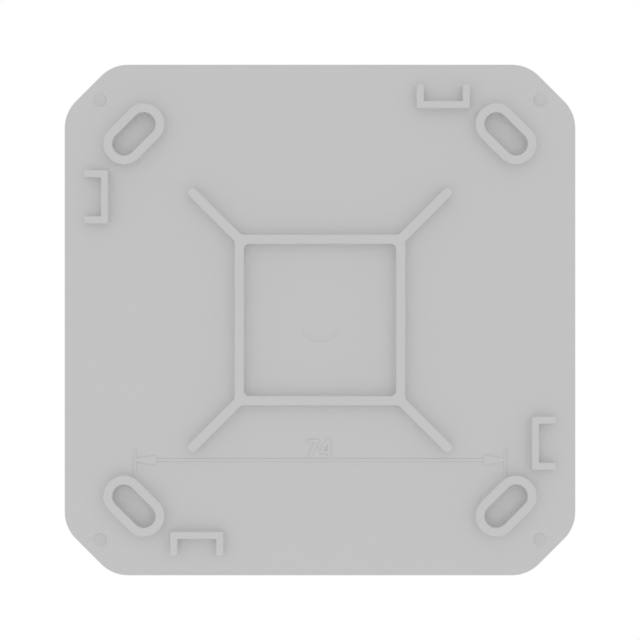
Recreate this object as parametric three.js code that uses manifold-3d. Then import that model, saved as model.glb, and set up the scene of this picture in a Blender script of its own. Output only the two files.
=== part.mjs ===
// Ceiling access point: a square unit that clips onto a moulded rear plate.
// Millimetres. X runs across the plate, Z runs up it, and Y runs from the mounting surface out to
// the front face. The origin is the middle of the plane that rests on the ceiling or wall.
import * as THREE from "three";
import { mergeVertices } from "three/addons/utils/BufferGeometryUtils.js";
import Module from "manifold-3d";

const wasm = await Module();
wasm.setup();

// ---------------------------------------------------------------------------------------------
// Driving dimensions
// ---------------------------------------------------------------------------------------------

const HALF = 51.0; // half the side of the square outline
const CORNER_CUT = 9.5; // leg of the 45 degree corner cut
const CORNER_RADIUS = 7.5; // arc between a cut and a side

// Depths from the mounting plane.
const RIB_HEIGHT = 2.0;
const PLATE_BACK = RIB_HEIGHT;
const PLATE_FRONT = 4.0;
const SHELL_RIM = 4.3;
const EDGE_START = 21.5;
const FACE = 28.0;
const CROWN = 1.0;
const BOARD_BACK = 18.0;
const BOARD_FRONT = 19.6;

// Plate: ribs, slots and marks.
const FRAME_OUTER = 17.0;
const FRAME_INNER = 15.1;
const FRAME_CORNER = 1.0;
const DIAGONAL_WIDTH = 1.9;
const DIAGONAL_TIP = 26.0;
const SLOT_PITCH = 74.0;
const SLOT_LENGTH = 10.15;
const SLOT_WIDTH = 4.6;
const SLOT_WALL = 1.8;
const SLOT_FLOOR = 2.25;
const SLOT_SKIN = 0.6;
const EDGE_RIB_OFFSET = 24.5;
const EDGE_RIB_WIDTH = 10.6;
const EDGE_RIB_WALL = 1.45;
const EDGE_RIB_INNER = 42.1;
const EDGE_RIB_OUTER = 46.9;
const EDGE_RIB_CORNER = 0.3;
const PIN_MARK_PLACE = 44.0;
const PIN_MARK_RADIUS = 1.45;
const PIN_MARK_DEPTH = 0.4;
const PIN_MARK_TILT = 6.0; // degrees, deeper towards the middle of the plate
const DIMPLE_RADIUS = 4.5;
const DIMPLE_DEPTH = 0.36;
const DIMPLE_TOP = -1.1;
const MARK_HEIGHT = 0.2;
const MARK_LINE_Z = -28.0;
const MARK_LINE_WIDTH = 0.5;
const ARROW_LENGTH = 4.3;
const ARROW_NOSE = 0.6;
const ARROW_WIDTH = 1.86;
const WITNESS_TOP = -25.85;
const WITNESS_BOTTOM = -31.05;
const DIGIT_HEIGHT = 2.85;
const DIGIT_BASE = -26.98;
const DIGIT_STROKE = 0.62;
const SEVEN_LEFT = -2.34;
const FOUR_LEFT = 0.22;

// Shell.
const WALL = 2.0;
const RIM_INSET = 0.2;
const WALL_DRAFT = 1.0;
const EDGE_ROUND = FACE - EDGE_START;
const CLEARANCE = 0.3;
const VENT_COUNT = 11;
const VENT_PITCH = 3.6;
const VENT_WIDTH = 1.5;
const VENT_LOW = 8.5;
const VENT_HIGH = 16.5;
const BOSS_PLACE = 39.0;
const BOSS_RADIUS = 3.1;
const BOSS_BORE = 1.4;
const PRY_HALF_WIDTH = 5.0;
const PRY_HEIGHT = 1.4;
const PRY_DEPTH = 1.1;

// Snap arms on the plate and the grooves that they run in.
const LIP_INSET = 2.7;
const LIP_WALL = 1.2;
const LIP_TOP = 6.0;
const LIP_ARM_GAP = 1.2;
const LIP_JACK_GAP = 2.0;
const ARM_WIDTH = 9.0;
const ARM_WALL = 1.4;
const ARM_TOP = 11.5;
const BARB_LOW = 8.2;
const BARB_HIGH = 10.6;
const BARB_REACH = 0.9;
const GROOVE_DEPTH = 0.9;
const GROOVE_TOP = 12.4;
const GROOVE_SIDE_GAP = 0.8;

// Board and what sits on it. A seat is the solder or glue film under a piece.
const BOARD_HALF = 45.5;
const SEAT = 0.1;
const REAR_SEAT = BOARD_BACK - SEAT;
const FRONT_SEAT = BOARD_FRONT + SEAT;
const SCREW_RADIUS = 1.1;
const SCREW_HEAD_RADIUS = 2.4;
const SCREW_HEAD_HEIGHT = 1.7;
const SCREW_LENGTH = 6.0;
const SCREW_POINT = 0.8;
const DRIVE_LENGTH = 2.4;
const DRIVE_WIDTH = 0.6;
const DRIVE_DEPTH = 0.8;

// Network jack: the mouth is at the lower side of the shell.
const JACK_HALF_WIDTH = 8.0;
const JACK_LOW = 4.9;
const JACK_MOUTH = -49.8;
const JACK_REAR = -32.3;
const JACK_METAL = 0.4;
const SOCKET_HALF_WIDTH = 5.9;
const SOCKET_LOW = 6.8;
const SOCKET_HIGH = 13.6;
const SOCKET_DEPTH = 13.0;
const KEYWAY_HALF_WIDTH = 3.1;
const KEYWAY_HIGH = 15.6;
const CONTACT_COUNT = 8;
const CONTACT_PITCH = 1.02;
const CONTACT_WIDTH = 0.45;
const CONTACT_TIP_HEIGHT = 8.6;
const CONTACT_WIRE = 0.4;
const CONTACT_LENGTH = 9.2;
const CONTACT_TIP_INSET = 3.5;
const CARRIER_DEPTH = 2.4;
const CONTACT_REAR = JACK_MOUTH + SOCKET_DEPTH + 1.6;
const NOTCH_GAP = 0.4;
const MOUTH_GAP = 0.2;

// Power pieces on the rear of the board.
const CAPACITOR_RADIUS = 4.0;
const CAPACITOR_HEIGHT = 9.5;
const CAPACITOR_ROUND = 0.4;
const CAPACITOR_GROOVE = 1.4;
const CHOKE_RADIUS = 4.4;
const CHOKE_HEIGHT = 4.6;
const CHOKE_FLANGE = 0.9;
const TRANSFORMER_PLACE = [-30.0, -20.0];
const TRANSFORMER_HEIGHT = 10.2;
const TRANSFORMER_LIFT = 0.8;
const CORE_WIDTH = 15.0;
const CORE_DEPTH = 6.4;
const CORE_LEG = 2.0;
const COIL_LENGTH = 12.4;
const BOBBIN_FOOT = 3.0;

// Processor, its cooling, and the radio under its can.
const PROCESSOR_PLACE = [6.0, 8.0];
const CHIP_THICKNESS = 1.1;
const PAD_SIDE = 14.0;
const PAD_THICKNESS = 0.5;
const SINK_SIDE = 27.0;
const SINK_BASE = 2.0;
const SINK_HEIGHT = 8.2;
const FIN_COUNT = 8;
const FIN_WIDTH = 1.2;
const RADIO_PLACE = [24.0, 32.0];
const CAN_WIDTH = 22.0;
const CAN_DEPTH = 17.0;
const CAN_HEIGHT = 2.9;
const SHEET = 0.4;
const ANTENNA_LEG = 1.4;
const ANTENNA_FEED = 3.9;
const ANTENNA_SLOT = 0.8;

// Button, its switch, and the light pipe.
const BUTTON_X = 17.0;
const BUTTON_Y = 15.6;
const BUTTON_LENGTH = 6.4;
const BUTTON_WIDTH = 2.8;
const BUTTON_PROUD = 0.5;
const BUTTON_FLANGE = 1.0;
const BUTTON_FLANGE_REACH = 1.4;
const BUTTON_FREE_PLAY = 0.15;
const BUTTON_NOSE_HALF = 0.9;
const SWITCH_FACE = -44.6;
const SWITCH_DEPTH = 3.6;
const SWITCH_HALF_WIDTH = 3.0;
const SWITCH_HALF_HEIGHT = 2.0;
const SWITCH_STEM_TIP = -45.7;
const SWITCH_STEM_HALF = 0.8;
const SWITCH_STEM_DEPTH = 1.6;
const SWITCH_HOLE_DEPTH = 2.4;
const LIGHT_Z = -37.0;
const LIGHT_LENGTH = 9.4;
const LIGHT_WIDTH = 1.9;
const LIGHT_GAP = 0.25;
const LIGHT_PROUD = 0.45;
const LIGHT_START = 21.4;
const LIGHT_COLLAR = 1.5;
const LIGHT_COLLAR_LOW = 24.4;
const LIGHT_COLLAR_HIGH = 25.7;
const LAMP_WIDTH = 3.2;
const LAMP_DEPTH = 2.6;
const LAMP_HEIGHT = 1.3;

// Number of straight steps: a value of n gives 2n steps in each arc.
const COARSE = 2;
const FINE = 5;
const ROUND_SIDES = 20;
const EDGE_STEPS = 5;
const CROWN_SCALES = [0.75, 0.5, 0.25];

// How far a cutter runs past a face, and how far a wall cutter reaches in from the outline.
const OVERRUN = 1.0;
const WALL_REACH = 6.0;

// ---------------------------------------------------------------------------------------------
// Materials
// ---------------------------------------------------------------------------------------------

function finish(color, roughness, metalness) {
  return new THREE.MeshStandardMaterial({ color, roughness, metalness });
}

const MATERIALS = {
  basePlastic: finish(0xc9c9c9, 0.6, 0),
  shellPlastic: finish(0xd6d6d6, 0.5, 0),
  clearPlastic: finish(0xe8eef2, 0.2, 0),
  board: finish(0x14503a, 0.45, 0),
  blackPlastic: finish(0x16171a, 0.55, 0),
  ferrite: finish(0x3a3b3e, 0.7, 0),
  tape: finish(0xd9a62a, 0.4, 0),
  sleeve: finish(0x20242c, 0.35, 0),
  steel: finish(0xb9bcc0, 0.35, 1),
  aluminium: finish(0xa9adb2, 0.4, 1),
  contactMetal: finish(0xd8b25a, 0.3, 1),
  pad: finish(0x8fa3b8, 0.9, 0),
  lamp: finish(0xf4f2e6, 0.3, 0),
};

// ---------------------------------------------------------------------------------------------
// Solids
// ---------------------------------------------------------------------------------------------

function solidOf(geometry) {
  const bare = new THREE.BufferGeometry();
  const source = geometry.index ? geometry.toNonIndexed() : geometry;
  bare.setAttribute("position", source.getAttribute("position"));
  const merged = mergeVertices(bare, 1e-4);
  return new wasm.Manifold(
    new wasm.Mesh({
      numProp: 3,
      vertProperties: merged.attributes.position.array,
      triVerts: new Uint32Array(merged.index.array),
    }),
  );
}

function geometryOf(solid) {
  const mesh = solid.getMesh();
  const geometry = new THREE.BufferGeometry();
  geometry.setAttribute("position", new THREE.BufferAttribute(mesh.vertProperties, 3));
  geometry.setIndex(new THREE.BufferAttribute(mesh.triVerts, 1));
  geometry.computeVertexNormals();
  return geometry;
}

function joined(solids) {
  return solids.reduce((whole, piece) => whole.add(piece));
}

// A shape drawn in X and Z, made solid between two depths.
function prism(shape, low, high, steps = COARSE) {
  const options = { depth: high - low, bevelEnabled: false, curveSegments: steps };
  const geometry = new THREE.ExtrudeGeometry(shape, options);
  geometry.rotateX(Math.PI / 2);
  geometry.translate(0, high, 0);
  return solidOf(geometry);
}

// A side outline drawn in Z and depth, made solid between two places across X.
function sidePrism(shape, x0, x1) {
  const geometry = new THREE.ExtrudeGeometry(shape, { depth: x1 - x0, bevelEnabled: false });
  geometry.rotateY(-Math.PI / 2);
  geometry.translate(x1, 0, 0);
  return solidOf(geometry);
}

function box(x0, x1, y0, y1, z0, z1) {
  const geometry = new THREE.BoxGeometry(x1 - x0, y1 - y0, z1 - z0);
  geometry.translate((x0 + x1) / 2, (y0 + y1) / 2, (z0 + z1) / 2);
  return solidOf(geometry);
}

// A box given by its middle and width in X and Z, and its two depths.
function block(x, z, width, height, low, high) {
  return box(x - width / 2, x + width / 2, low, high, z - height / 2, z + height / 2);
}

// A cylinder along Y.
function round(x, z, radius, low, high, sides = ROUND_SIDES) {
  const geometry = new THREE.CylinderGeometry(radius, radius, high - low, sides);
  geometry.translate(x, (low + high) / 2, z);
  return solidOf(geometry);
}

// A turned piece along Y: each profile point is a radius and a depth.
function turned(x, z, profile, sides = ROUND_SIDES) {
  const points = profile.map(([radius, depth]) => new THREE.Vector2(radius, depth));
  const geometry = new THREE.LatheGeometry(points, sides);
  geometry.translate(x, 0, z);
  return solidOf(geometry);
}

// Outline through the corners in anticlockwise order, each corner rounded by its own radius.
function roundedOutline(corners, radii) {
  const shape = new THREE.Shape();
  corners.forEach((corner, i) => {
    const radius = Array.isArray(radii) ? radii[i] : radii;
    if (radius === 0) {
      if (i === 0) shape.moveTo(corner.x, corner.y);
      else shape.lineTo(corner.x, corner.y);
      return;
    }
    const before = corners.at(i - 1);
    const after = corners[(i + 1) % corners.length];
    const arrive = corner.clone().sub(before).normalize();
    const leave = after.clone().sub(corner).normalize();
    const side = Math.sign(arrive.cross(leave));
    const turn = Math.acos(arrive.dot(leave));
    const start = corner.clone().addScaledVector(arrive, -radius * Math.tan(turn / 2));
    const inward = new THREE.Vector2(-arrive.y, arrive.x).multiplyScalar(side);
    const centre = start.clone().addScaledVector(inward, radius);
    const from = start.clone().sub(centre).angle();
    shape.absarc(centre.x, centre.y, radius, from, from + side * turn, side < 0);
  });
  shape.closePath();
  return shape;
}

function corners(pairs) {
  return pairs.map(([x, z]) => new THREE.Vector2(x, z));
}

// The unit's outline, moved inward by an inset.
function cutSquare(inset) {
  const half = HALF - inset;
  const cut = CORNER_CUT - (2 - Math.SQRT2) * inset;
  const flat = half - cut;
  const points = corners([
    [half, -flat],
    [half, flat],
    [flat, half],
    [-flat, half],
    [-half, flat],
    [-half, -flat],
    [-flat, -half],
    [flat, -half],
  ]);
  return roundedOutline(points, Math.max(CORNER_RADIUS - inset, 1));
}

function square(half, radius) {
  return roundedOutline(corners([[half, -half], [half, half], [-half, half], [-half, -half]]), radius);
}

// A bar with round ends, along X before it is turned.
function pill(length, width) {
  const reach = (length - width) / 2;
  const shape = new THREE.Shape();
  shape.absarc(reach, 0, width / 2, -Math.PI / 2, Math.PI / 2, false);
  shape.absarc(-reach, 0, width / 2, Math.PI / 2, (3 * Math.PI) / 2, false);
  shape.closePath();
  return shape;
}

// Turns a solid in the plate's plane, anticlockwise seen from the mounting side, then moves it.
function placed(solid, degrees, x, z) {
  return solid.rotate([0, -degrees, 0]).translate([x, 0, z]);
}

// A solid skinned over a stack of outlines: each ring is an inset, a depth and a scale.
function loft(rings) {
  const outlines = rings.map(([inset, depth, scale = 1]) => {
    const points = cutSquare(inset).getPoints(COARSE).slice(0, -1);
    return points.map((point) => [point.x * scale, depth, point.y * scale]);
  });
  const count = outlines[0].length;
  const positions = outlines.flat(2);
  const index = [];
  for (let ring = 0; ring < outlines.length - 1; ring += 1) {
    for (let i = 0; i < count; i += 1) {
      const next = (i + 1) % count;
      const a = ring * count + i;
      const b = ring * count + next;
      const c = b + count;
      const d = a + count;
      index.push(a, d, c, a, c, b);
    }
  }
  const last = (outlines.length - 1) * count;
  for (let i = 1; i < count - 1; i += 1) {
    index.push(0, i, i + 1);
    index.push(last, last + i + 1, last + i);
  }
  const geometry = new THREE.BufferGeometry();
  geometry.setAttribute("position", new THREE.Float32BufferAttribute(positions, 3));
  geometry.setIndex(index);
  return solidOf(geometry);
}

// Turns that repeat an upper-side feature on all four sides.
const SIDES = [0, 90, 180, 270];

// ---------------------------------------------------------------------------------------------
// Mounting base
// ---------------------------------------------------------------------------------------------

function ribFrame() {
  const outer = prism(square(FRAME_OUTER, FRAME_CORNER), 0, PLATE_FRONT);
  const inner = prism(square(FRAME_INNER, FRAME_CORNER), -OVERRUN, PLATE_BACK);
  return outer.subtract(inner);
}

function diagonalRibs() {
  const start = FRAME_INNER + DIAGONAL_WIDTH;
  const middle = (start + DIAGONAL_TIP) / 2;
  const length = (DIAGONAL_TIP - start) * Math.SQRT2;
  const bar = prism(pill(length, DIAGONAL_WIDTH), 0, PLATE_FRONT, FINE);
  return [45, 135, 225, 315].map((turn) => {
    const angle = THREE.MathUtils.degToRad(turn);
    const radius = middle * Math.SQRT2;
    return placed(bar, turn, radius * Math.cos(angle), radius * Math.sin(angle));
  });
}

// Edge rib at the upper side: two posts and a bar, open towards the edge.
function edgeRib() {
  const outer = EDGE_RIB_WIDTH / 2;
  const inner = outer - EDGE_RIB_WALL;
  const bar = EDGE_RIB_INNER + EDGE_RIB_WALL;
  const outline = corners([
    [-outer, EDGE_RIB_INNER],
    [outer, EDGE_RIB_INNER],
    [outer, EDGE_RIB_OUTER],
    [inner, EDGE_RIB_OUTER],
    [inner, bar],
    [-inner, bar],
    [-inner, EDGE_RIB_OUTER],
    [-outer, EDGE_RIB_OUTER],
  ]);
  return prism(roundedOutline(outline, EDGE_RIB_CORNER), 0, PLATE_FRONT, 1);
}

function screwSlots() {
  const outline = pill(SLOT_LENGTH + 2 * SLOT_WALL, SLOT_WIDTH + 2 * SLOT_WALL);
  const rim = prism(outline, 0, PLATE_FRONT, FINE);
  const opening = pill(SLOT_LENGTH, SLOT_WIDTH);
  const hollow = prism(opening, -OVERRUN, SLOT_FLOOR, FINE);
  const relief = prism(opening, SLOT_FLOOR + SLOT_SKIN, PLATE_FRONT + OVERRUN, FINE);
  const half = SLOT_PITCH / 2;
  const places = [
    [half, half, 135],
    [-half, half, 45],
    [-half, -half, 135],
    [half, -half, 45],
  ];
  return {
    rims: places.map(([x, z, turn]) => placed(rim, turn, x, z)),
    hollows: places.flatMap(([x, z, turn]) => [
      placed(hollow, turn, x, z),
      placed(relief, turn, x, z),
    ]),
  };
}

// A low raised stroke with round ends between two points.
function stroke(x0, z0, x1, z1, width) {
  const along = new THREE.Vector2(x1 - x0, z1 - z0);
  const outline = pill(along.length() + width, width);
  const strip = prism(outline, PLATE_BACK - MARK_HEIGHT, PLATE_FRONT, 1);
  const turn = THREE.MathUtils.radToDeg(along.angle());
  return placed(strip, turn, (x0 + x1) / 2, (z0 + z1) / 2);
}

// The digits as strokes from point to point, from each digit's own lower left corner.
const SEVEN = [
  [0, DIGIT_HEIGHT, 1.85, DIGIT_HEIGHT],
  [1.85, DIGIT_HEIGHT, 0.37, 0],
];
const FOUR = [
  [1.28, DIGIT_HEIGHT, 0, 0.7],
  [0, 0.62, 1.6, 0.62],
  [1.6, DIGIT_HEIGHT, 1.6, 0],
];

function digit(strokes, left) {
  return strokes.map(([x0, z0, x1, z1]) =>
    stroke(left + x0, DIGIT_BASE + z0, left + x1, DIGIT_BASE + z1, DIGIT_STROKE),
  );
}

// Raised dimension mark: line, arrow heads, witness lines and the two digits.
function dimensionMark() {
  const end = SLOT_PITCH / 2;
  const pieces = [stroke(-end, MARK_LINE_Z, end, MARK_LINE_Z, MARK_LINE_WIDTH)];
  for (const side of [-1, 1]) {
    const base = side * (end - ARROW_LENGTH);
    const head = corners([
      [side * end, MARK_LINE_Z - (side * ARROW_NOSE) / 2],
      [side * end, MARK_LINE_Z + (side * ARROW_NOSE) / 2],
      [base, MARK_LINE_Z + (side * ARROW_WIDTH) / 2],
      [base, MARK_LINE_Z - (side * ARROW_WIDTH) / 2],
    ]);
    pieces.push(prism(roundedOutline(head, 0), PLATE_BACK - MARK_HEIGHT, PLATE_FRONT));
    pieces.push(stroke(side * end, WITNESS_BOTTOM, side * end, WITNESS_TOP, MARK_LINE_WIDTH));
  }
  return pieces.concat(digit(SEVEN, SEVEN_LEFT), digit(FOUR, FOUR_LEFT));
}

// Faint dimple at the middle: a disc whose floor leaves the plate's face and sinks downwards.
function dimple() {
  const tilt = THREE.MathUtils.radToDeg(Math.atan(DIMPLE_DEPTH / (DIMPLE_RADIUS + DIMPLE_TOP)));
  const cutter = round(0, -DIMPLE_TOP, DIMPLE_RADIUS, -OVERRUN, 0).rotate([tilt, 0, 0]);
  return cutter.translate([0, PLATE_BACK, DIMPLE_TOP]);
}

// Ejector pin mark: a round recess, its floor sunk furthest towards the middle of the plate.
function pinMark(x, z) {
  const turn = THREE.MathUtils.radToDeg(Math.atan2(z, x));
  const middle = PLATE_BACK + PIN_MARK_DEPTH / 2;
  const cutter = round(0, 0, PIN_MARK_RADIUS, -OVERRUN, 0).rotate([0, 0, -PIN_MARK_TILT]);
  return placed(cutter.translate([0, middle, 0]), turn, x, z);
}

// Snap arm at the upper side, standing from the plate, with its barb facing out.
function snapArm() {
  const outer = HALF - LIP_INSET;
  const left = -ARM_WIDTH / 2;
  const right = ARM_WIDTH / 2;
  const arm = box(left, right, PLATE_BACK, ARM_TOP, outer - ARM_WALL, outer);
  const root = outer - ARM_WALL / 2;
  const tip = outer + BARB_REACH;
  const nose = corners([
    [root, BARB_LOW],
    [outer, BARB_LOW],
    [tip, BARB_LOW + BARB_REACH / 3],
    [tip, BARB_HIGH - BARB_REACH],
    [outer, BARB_HIGH],
    [root, BARB_HIGH],
  ]);
  return arm.add(sidePrism(roundedOutline(nose, 0), left, right));
}

function mountingBase() {
  const slots = screwSlots();
  const rib = edgeRib();
  const arm = snapArm();
  const lipInside = LIP_INSET + LIP_WALL;
  const lipHollow = loft([[lipInside, PLATE_BACK - OVERRUN], [lipInside, LIP_TOP + OVERRUN]]);
  const jackHalf = JACK_HALF_WIDTH + LIP_JACK_GAP;
  const jackGap = box(-jackHalf, jackHalf, PLATE_FRONT, LIP_TOP + OVERRUN, -HALF, 0);
  const armHalf = ARM_WIDTH / 2 + LIP_ARM_GAP;
  const armGap = box(-armHalf, armHalf, PLATE_FRONT, LIP_TOP + OVERRUN, 0, HALF);
  let lip = loft([[LIP_INSET, PLATE_BACK], [LIP_INSET, LIP_TOP]]);
  lip = lip.subtract(lipHollow).subtract(jackGap);
  const fixed = [];
  for (const side of SIDES) {
    lip = lip.subtract(placed(armGap.translate([EDGE_RIB_OFFSET, 0, 0]), side, 0, 0));
    fixed.push(placed(arm.translate([EDGE_RIB_OFFSET, 0, 0]), side, 0, 0));
    fixed.push(placed(rib.translate([EDGE_RIB_OFFSET, 0, 0]), side, 0, 0));
  }
  const plate = prism(cutSquare(0), PLATE_BACK, PLATE_FRONT);
  let base = joined([plate, lip, ribFrame(), ...diagonalRibs(), ...fixed, ...slots.rims]);
  base = base.subtract(dimple()).add(joined(dimensionMark()));
  for (const hollow of slots.hollows) {
    base = base.subtract(hollow);
  }
  for (const x of [-PIN_MARK_PLACE, PIN_MARK_PLACE]) {
    for (const z of [-PIN_MARK_PLACE, PIN_MARK_PLACE]) {
      base = base.subtract(pinMark(x, z));
    }
  }
  return base;
}

// ---------------------------------------------------------------------------------------------
// Front shell and the pieces that show through it
// ---------------------------------------------------------------------------------------------

// Rings from the rim to the middle of the face: a drafted wall, a rounded edge, a crowned face.
function shellRings(thickness, startDepth) {
  const edge = EDGE_ROUND - thickness;
  const wallEnd = RIM_INSET + WALL_DRAFT + thickness;
  const rings = [[RIM_INSET + thickness, startDepth]];
  for (let i = 0; i <= EDGE_STEPS; i += 1) {
    const angle = (i / EDGE_STEPS) * (Math.PI / 2);
    rings.push([wallEnd + edge * (1 - Math.cos(angle)), EDGE_START + edge * Math.sin(angle)]);
  }
  const face = FACE - thickness;
  for (const scale of CROWN_SCALES) {
    rings.push([wallEnd + edge, face + CROWN * (1 - scale * scale), scale]);
  }
  return rings;
}

// Inset of the shell's outer surface at a depth on the drafted wall.
function wallInset(depth) {
  return RIM_INSET + (WALL_DRAFT * (depth - SHELL_RIM)) / (EDGE_START - SHELL_RIM);
}

function ventSlots() {
  const slots = [];
  const reach = ((VENT_COUNT - 1) / 2) * VENT_PITCH;
  for (let i = 0; i < VENT_COUNT; i += 1) {
    const z = -reach + i * VENT_PITCH;
    const slot = block(HALF, z, 2 * WALL_REACH, VENT_WIDTH, VENT_LOW, VENT_HIGH);
    slots.push(slot, slot.translate([-2 * HALF, 0, 0]));
  }
  return slots;
}

// A pill lying in X, cut or raised along Z through the lower wall.
function buttonPrism(grow, z0, z1) {
  const shape = pill(BUTTON_LENGTH + 2 * grow, BUTTON_WIDTH + 2 * grow);
  const options = { depth: z1 - z0, bevelEnabled: false, curveSegments: FINE };
  const geometry = new THREE.ExtrudeGeometry(shape, options);
  geometry.translate(BUTTON_X, BUTTON_Y, z0);
  return solidOf(geometry);
}

function frontShell() {
  const outer = loft(shellRings(0, SHELL_RIM));
  const inner = loft(shellRings(WALL, SHELL_RIM - 1));
  let shell = outer.subtract(inner);
  for (const x of [-BOSS_PLACE, BOSS_PLACE]) {
    for (const z of [-BOSS_PLACE, BOSS_PLACE]) {
      const boss = round(x, z, BOSS_RADIUS, BOARD_FRONT + CLEARANCE, FACE);
      shell = shell.add(boss.intersect(outer));
      shell = shell.subtract(round(x, z, BOSS_BORE, BOARD_FRONT, BOARD_FRONT + SCREW_LENGTH));
    }
  }
  const grooveOuter = HALF - wallInset(SHELL_RIM) - WALL + GROOVE_DEPTH;
  const half = ARM_WIDTH / 2 + GROOVE_SIDE_GAP;
  const groove = box(-half, half, SHELL_RIM - OVERRUN, GROOVE_TOP, HALF - WALL_REACH, grooveOuter);
  for (const side of SIDES) {
    shell = shell.subtract(placed(groove.translate([EDGE_RIB_OFFSET, 0, 0]), side, 0, 0));
  }
  for (const slot of ventSlots()) {
    shell = shell.subtract(slot);
  }
  const notchHalf = JACK_HALF_WIDTH + NOTCH_GAP;
  const notchTop = BOARD_BACK + CLEARANCE;
  const rimCut = SHELL_RIM - OVERRUN;
  const notch = box(-notchHalf, notchHalf, rimCut, notchTop, -HALF - OVERRUN, -HALF + WALL_REACH);
  const pryTop = SHELL_RIM + PRY_HEIGHT;
  const pryInside = HALF - RIM_INSET - PRY_DEPTH;
  const pry = box(-PRY_HALF_WIDTH, PRY_HALF_WIDTH, rimCut, pryTop, pryInside, HALF + OVERRUN);
  const lightShape = pill(LIGHT_LENGTH + 2 * LIGHT_GAP, LIGHT_WIDTH + 2 * LIGHT_GAP);
  const lightHole = prism(lightShape, LIGHT_COLLAR_HIGH, FACE + 2 * CROWN, FINE);
  shell = shell.subtract(notch).subtract(pry).subtract(lightHole.translate([0, 0, LIGHT_Z]));
  return shell.subtract(buttonPrism(CLEARANCE, -HALF - OVERRUN, -HALF + WALL_REACH));
}

function lightPipe() {
  const stem = prism(pill(LIGHT_LENGTH, LIGHT_WIDTH), LIGHT_START, FACE + LIGHT_PROUD, FINE);
  const collarShape = pill(LIGHT_LENGTH + 2 * LIGHT_COLLAR, LIGHT_WIDTH + 2 * LIGHT_COLLAR);
  const collar = prism(collarShape, LIGHT_COLLAR_LOW, LIGHT_COLLAR_HIGH, FINE);
  return stem.add(collar).translate([0, 0, LIGHT_Z]);
}

// The cap's head passes the wall; its flange keeps it in, and its nose meets the switch.
function buttonCap() {
  const wallFace = -(HALF - wallInset(BUTTON_Y));
  const flangeFace = wallFace + WALL + 2 * CLEARANCE;
  const head = buttonPrism(0, wallFace - BUTTON_PROUD, flangeFace + BUTTON_FLANGE / 2);
  const halfLength = BUTTON_LENGTH / 2 + BUTTON_FLANGE_REACH;
  const halfWidth = BUTTON_WIDTH / 2 + BUTTON_FLANGE;
  const flange = box(
    BUTTON_X - halfLength,
    BUTTON_X + halfLength,
    BUTTON_Y - halfWidth,
    BUTTON_Y + halfWidth,
    flangeFace,
    flangeFace + BUTTON_FLANGE,
  );
  const noseEnd = SWITCH_STEM_TIP - BUTTON_FREE_PLAY;
  return joined([head, flange, buttonBar(BUTTON_NOSE_HALF, flangeFace, noseEnd)]);
}

// A square bar in line with the button, between two places along Z.
function buttonBar(half, z0, z1) {
  return box(BUTTON_X - half, BUTTON_X + half, BUTTON_Y - half, BUTTON_Y + half, z0, z1);
}

function switchHousing() {
  const left = BUTTON_X - SWITCH_HALF_WIDTH;
  const right = BUTTON_X + SWITCH_HALF_WIDTH;
  const low = BUTTON_Y - SWITCH_HALF_HEIGHT;
  const body = box(left, right, low, REAR_SEAT, SWITCH_FACE, SWITCH_FACE + SWITCH_DEPTH);
  const holeHalf = SWITCH_STEM_HALF + CLEARANCE;
  return body.subtract(buttonBar(holeHalf, SWITCH_FACE - OVERRUN, SWITCH_FACE + SWITCH_HOLE_DEPTH));
}

function switchStem() {
  return buttonBar(SWITCH_STEM_HALF, SWITCH_STEM_TIP, SWITCH_FACE + SWITCH_STEM_DEPTH);
}

// ---------------------------------------------------------------------------------------------
// Circuit board and its pieces
// ---------------------------------------------------------------------------------------------

function circuitBoard() {
  let board = prism(cutSquare(HALF - BOARD_HALF), BOARD_BACK, BOARD_FRONT);
  for (const x of [-BOSS_PLACE, BOSS_PLACE]) {
    for (const z of [-BOSS_PLACE, BOSS_PLACE]) {
      board = board.subtract(round(x, z, BOSS_BORE, BOARD_BACK - OVERRUN, BOARD_FRONT + OVERRUN));
    }
  }
  return board;
}

function boardScrew(x, z) {
  const headTop = BOARD_BACK - SEAT;
  const headBottom = headTop - SCREW_HEAD_HEIGHT;
  const tip = headTop + SCREW_LENGTH;
  const screw = turned(x, z, [
    [0, headBottom],
    [SCREW_HEAD_RADIUS * 0.75, headBottom],
    [SCREW_HEAD_RADIUS, headBottom + SCREW_HEAD_HEIGHT / 2],
    [SCREW_HEAD_RADIUS, headTop],
    [SCREW_RADIUS, headTop],
    [SCREW_RADIUS, tip - SCREW_POINT],
    [0, tip],
  ]);
  const driveLow = headBottom - OVERRUN;
  const driveHigh = headBottom + DRIVE_DEPTH;
  const across = block(x, z, DRIVE_LENGTH, DRIVE_WIDTH, driveLow, driveHigh);
  const upright = block(x, z, DRIVE_WIDTH, DRIVE_LENGTH, driveLow, driveHigh);
  return screw.subtract(across).subtract(upright);
}

// Outline of the plug opening: the plug's body, and above it the way for its latch.
function socketOpening(grow, z0, z1) {
  const wide = SOCKET_HALF_WIDTH + grow;
  const narrow = KEYWAY_HALF_WIDTH + grow;
  const body = box(-wide, wide, SOCKET_LOW - grow, SOCKET_HIGH + grow, z0, z1);
  return body.add(box(-narrow, narrow, SOCKET_HIGH, KEYWAY_HIGH + grow, z0, z1));
}

function jackShield() {
  const width = JACK_HALF_WIDTH;
  const can = box(-width, width, JACK_LOW, REAR_SEAT, JACK_MOUTH, JACK_REAR);
  const inside = width - JACK_METAL;
  const hollow = box(
    -inside,
    inside,
    JACK_LOW + JACK_METAL,
    REAR_SEAT + OVERRUN,
    JACK_MOUTH + JACK_METAL,
    JACK_REAR - JACK_METAL,
  );
  const mouth = socketOpening(MOUTH_GAP, JACK_MOUTH - OVERRUN, JACK_MOUTH + OVERRUN);
  return can.subtract(hollow).subtract(mouth);
}

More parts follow.
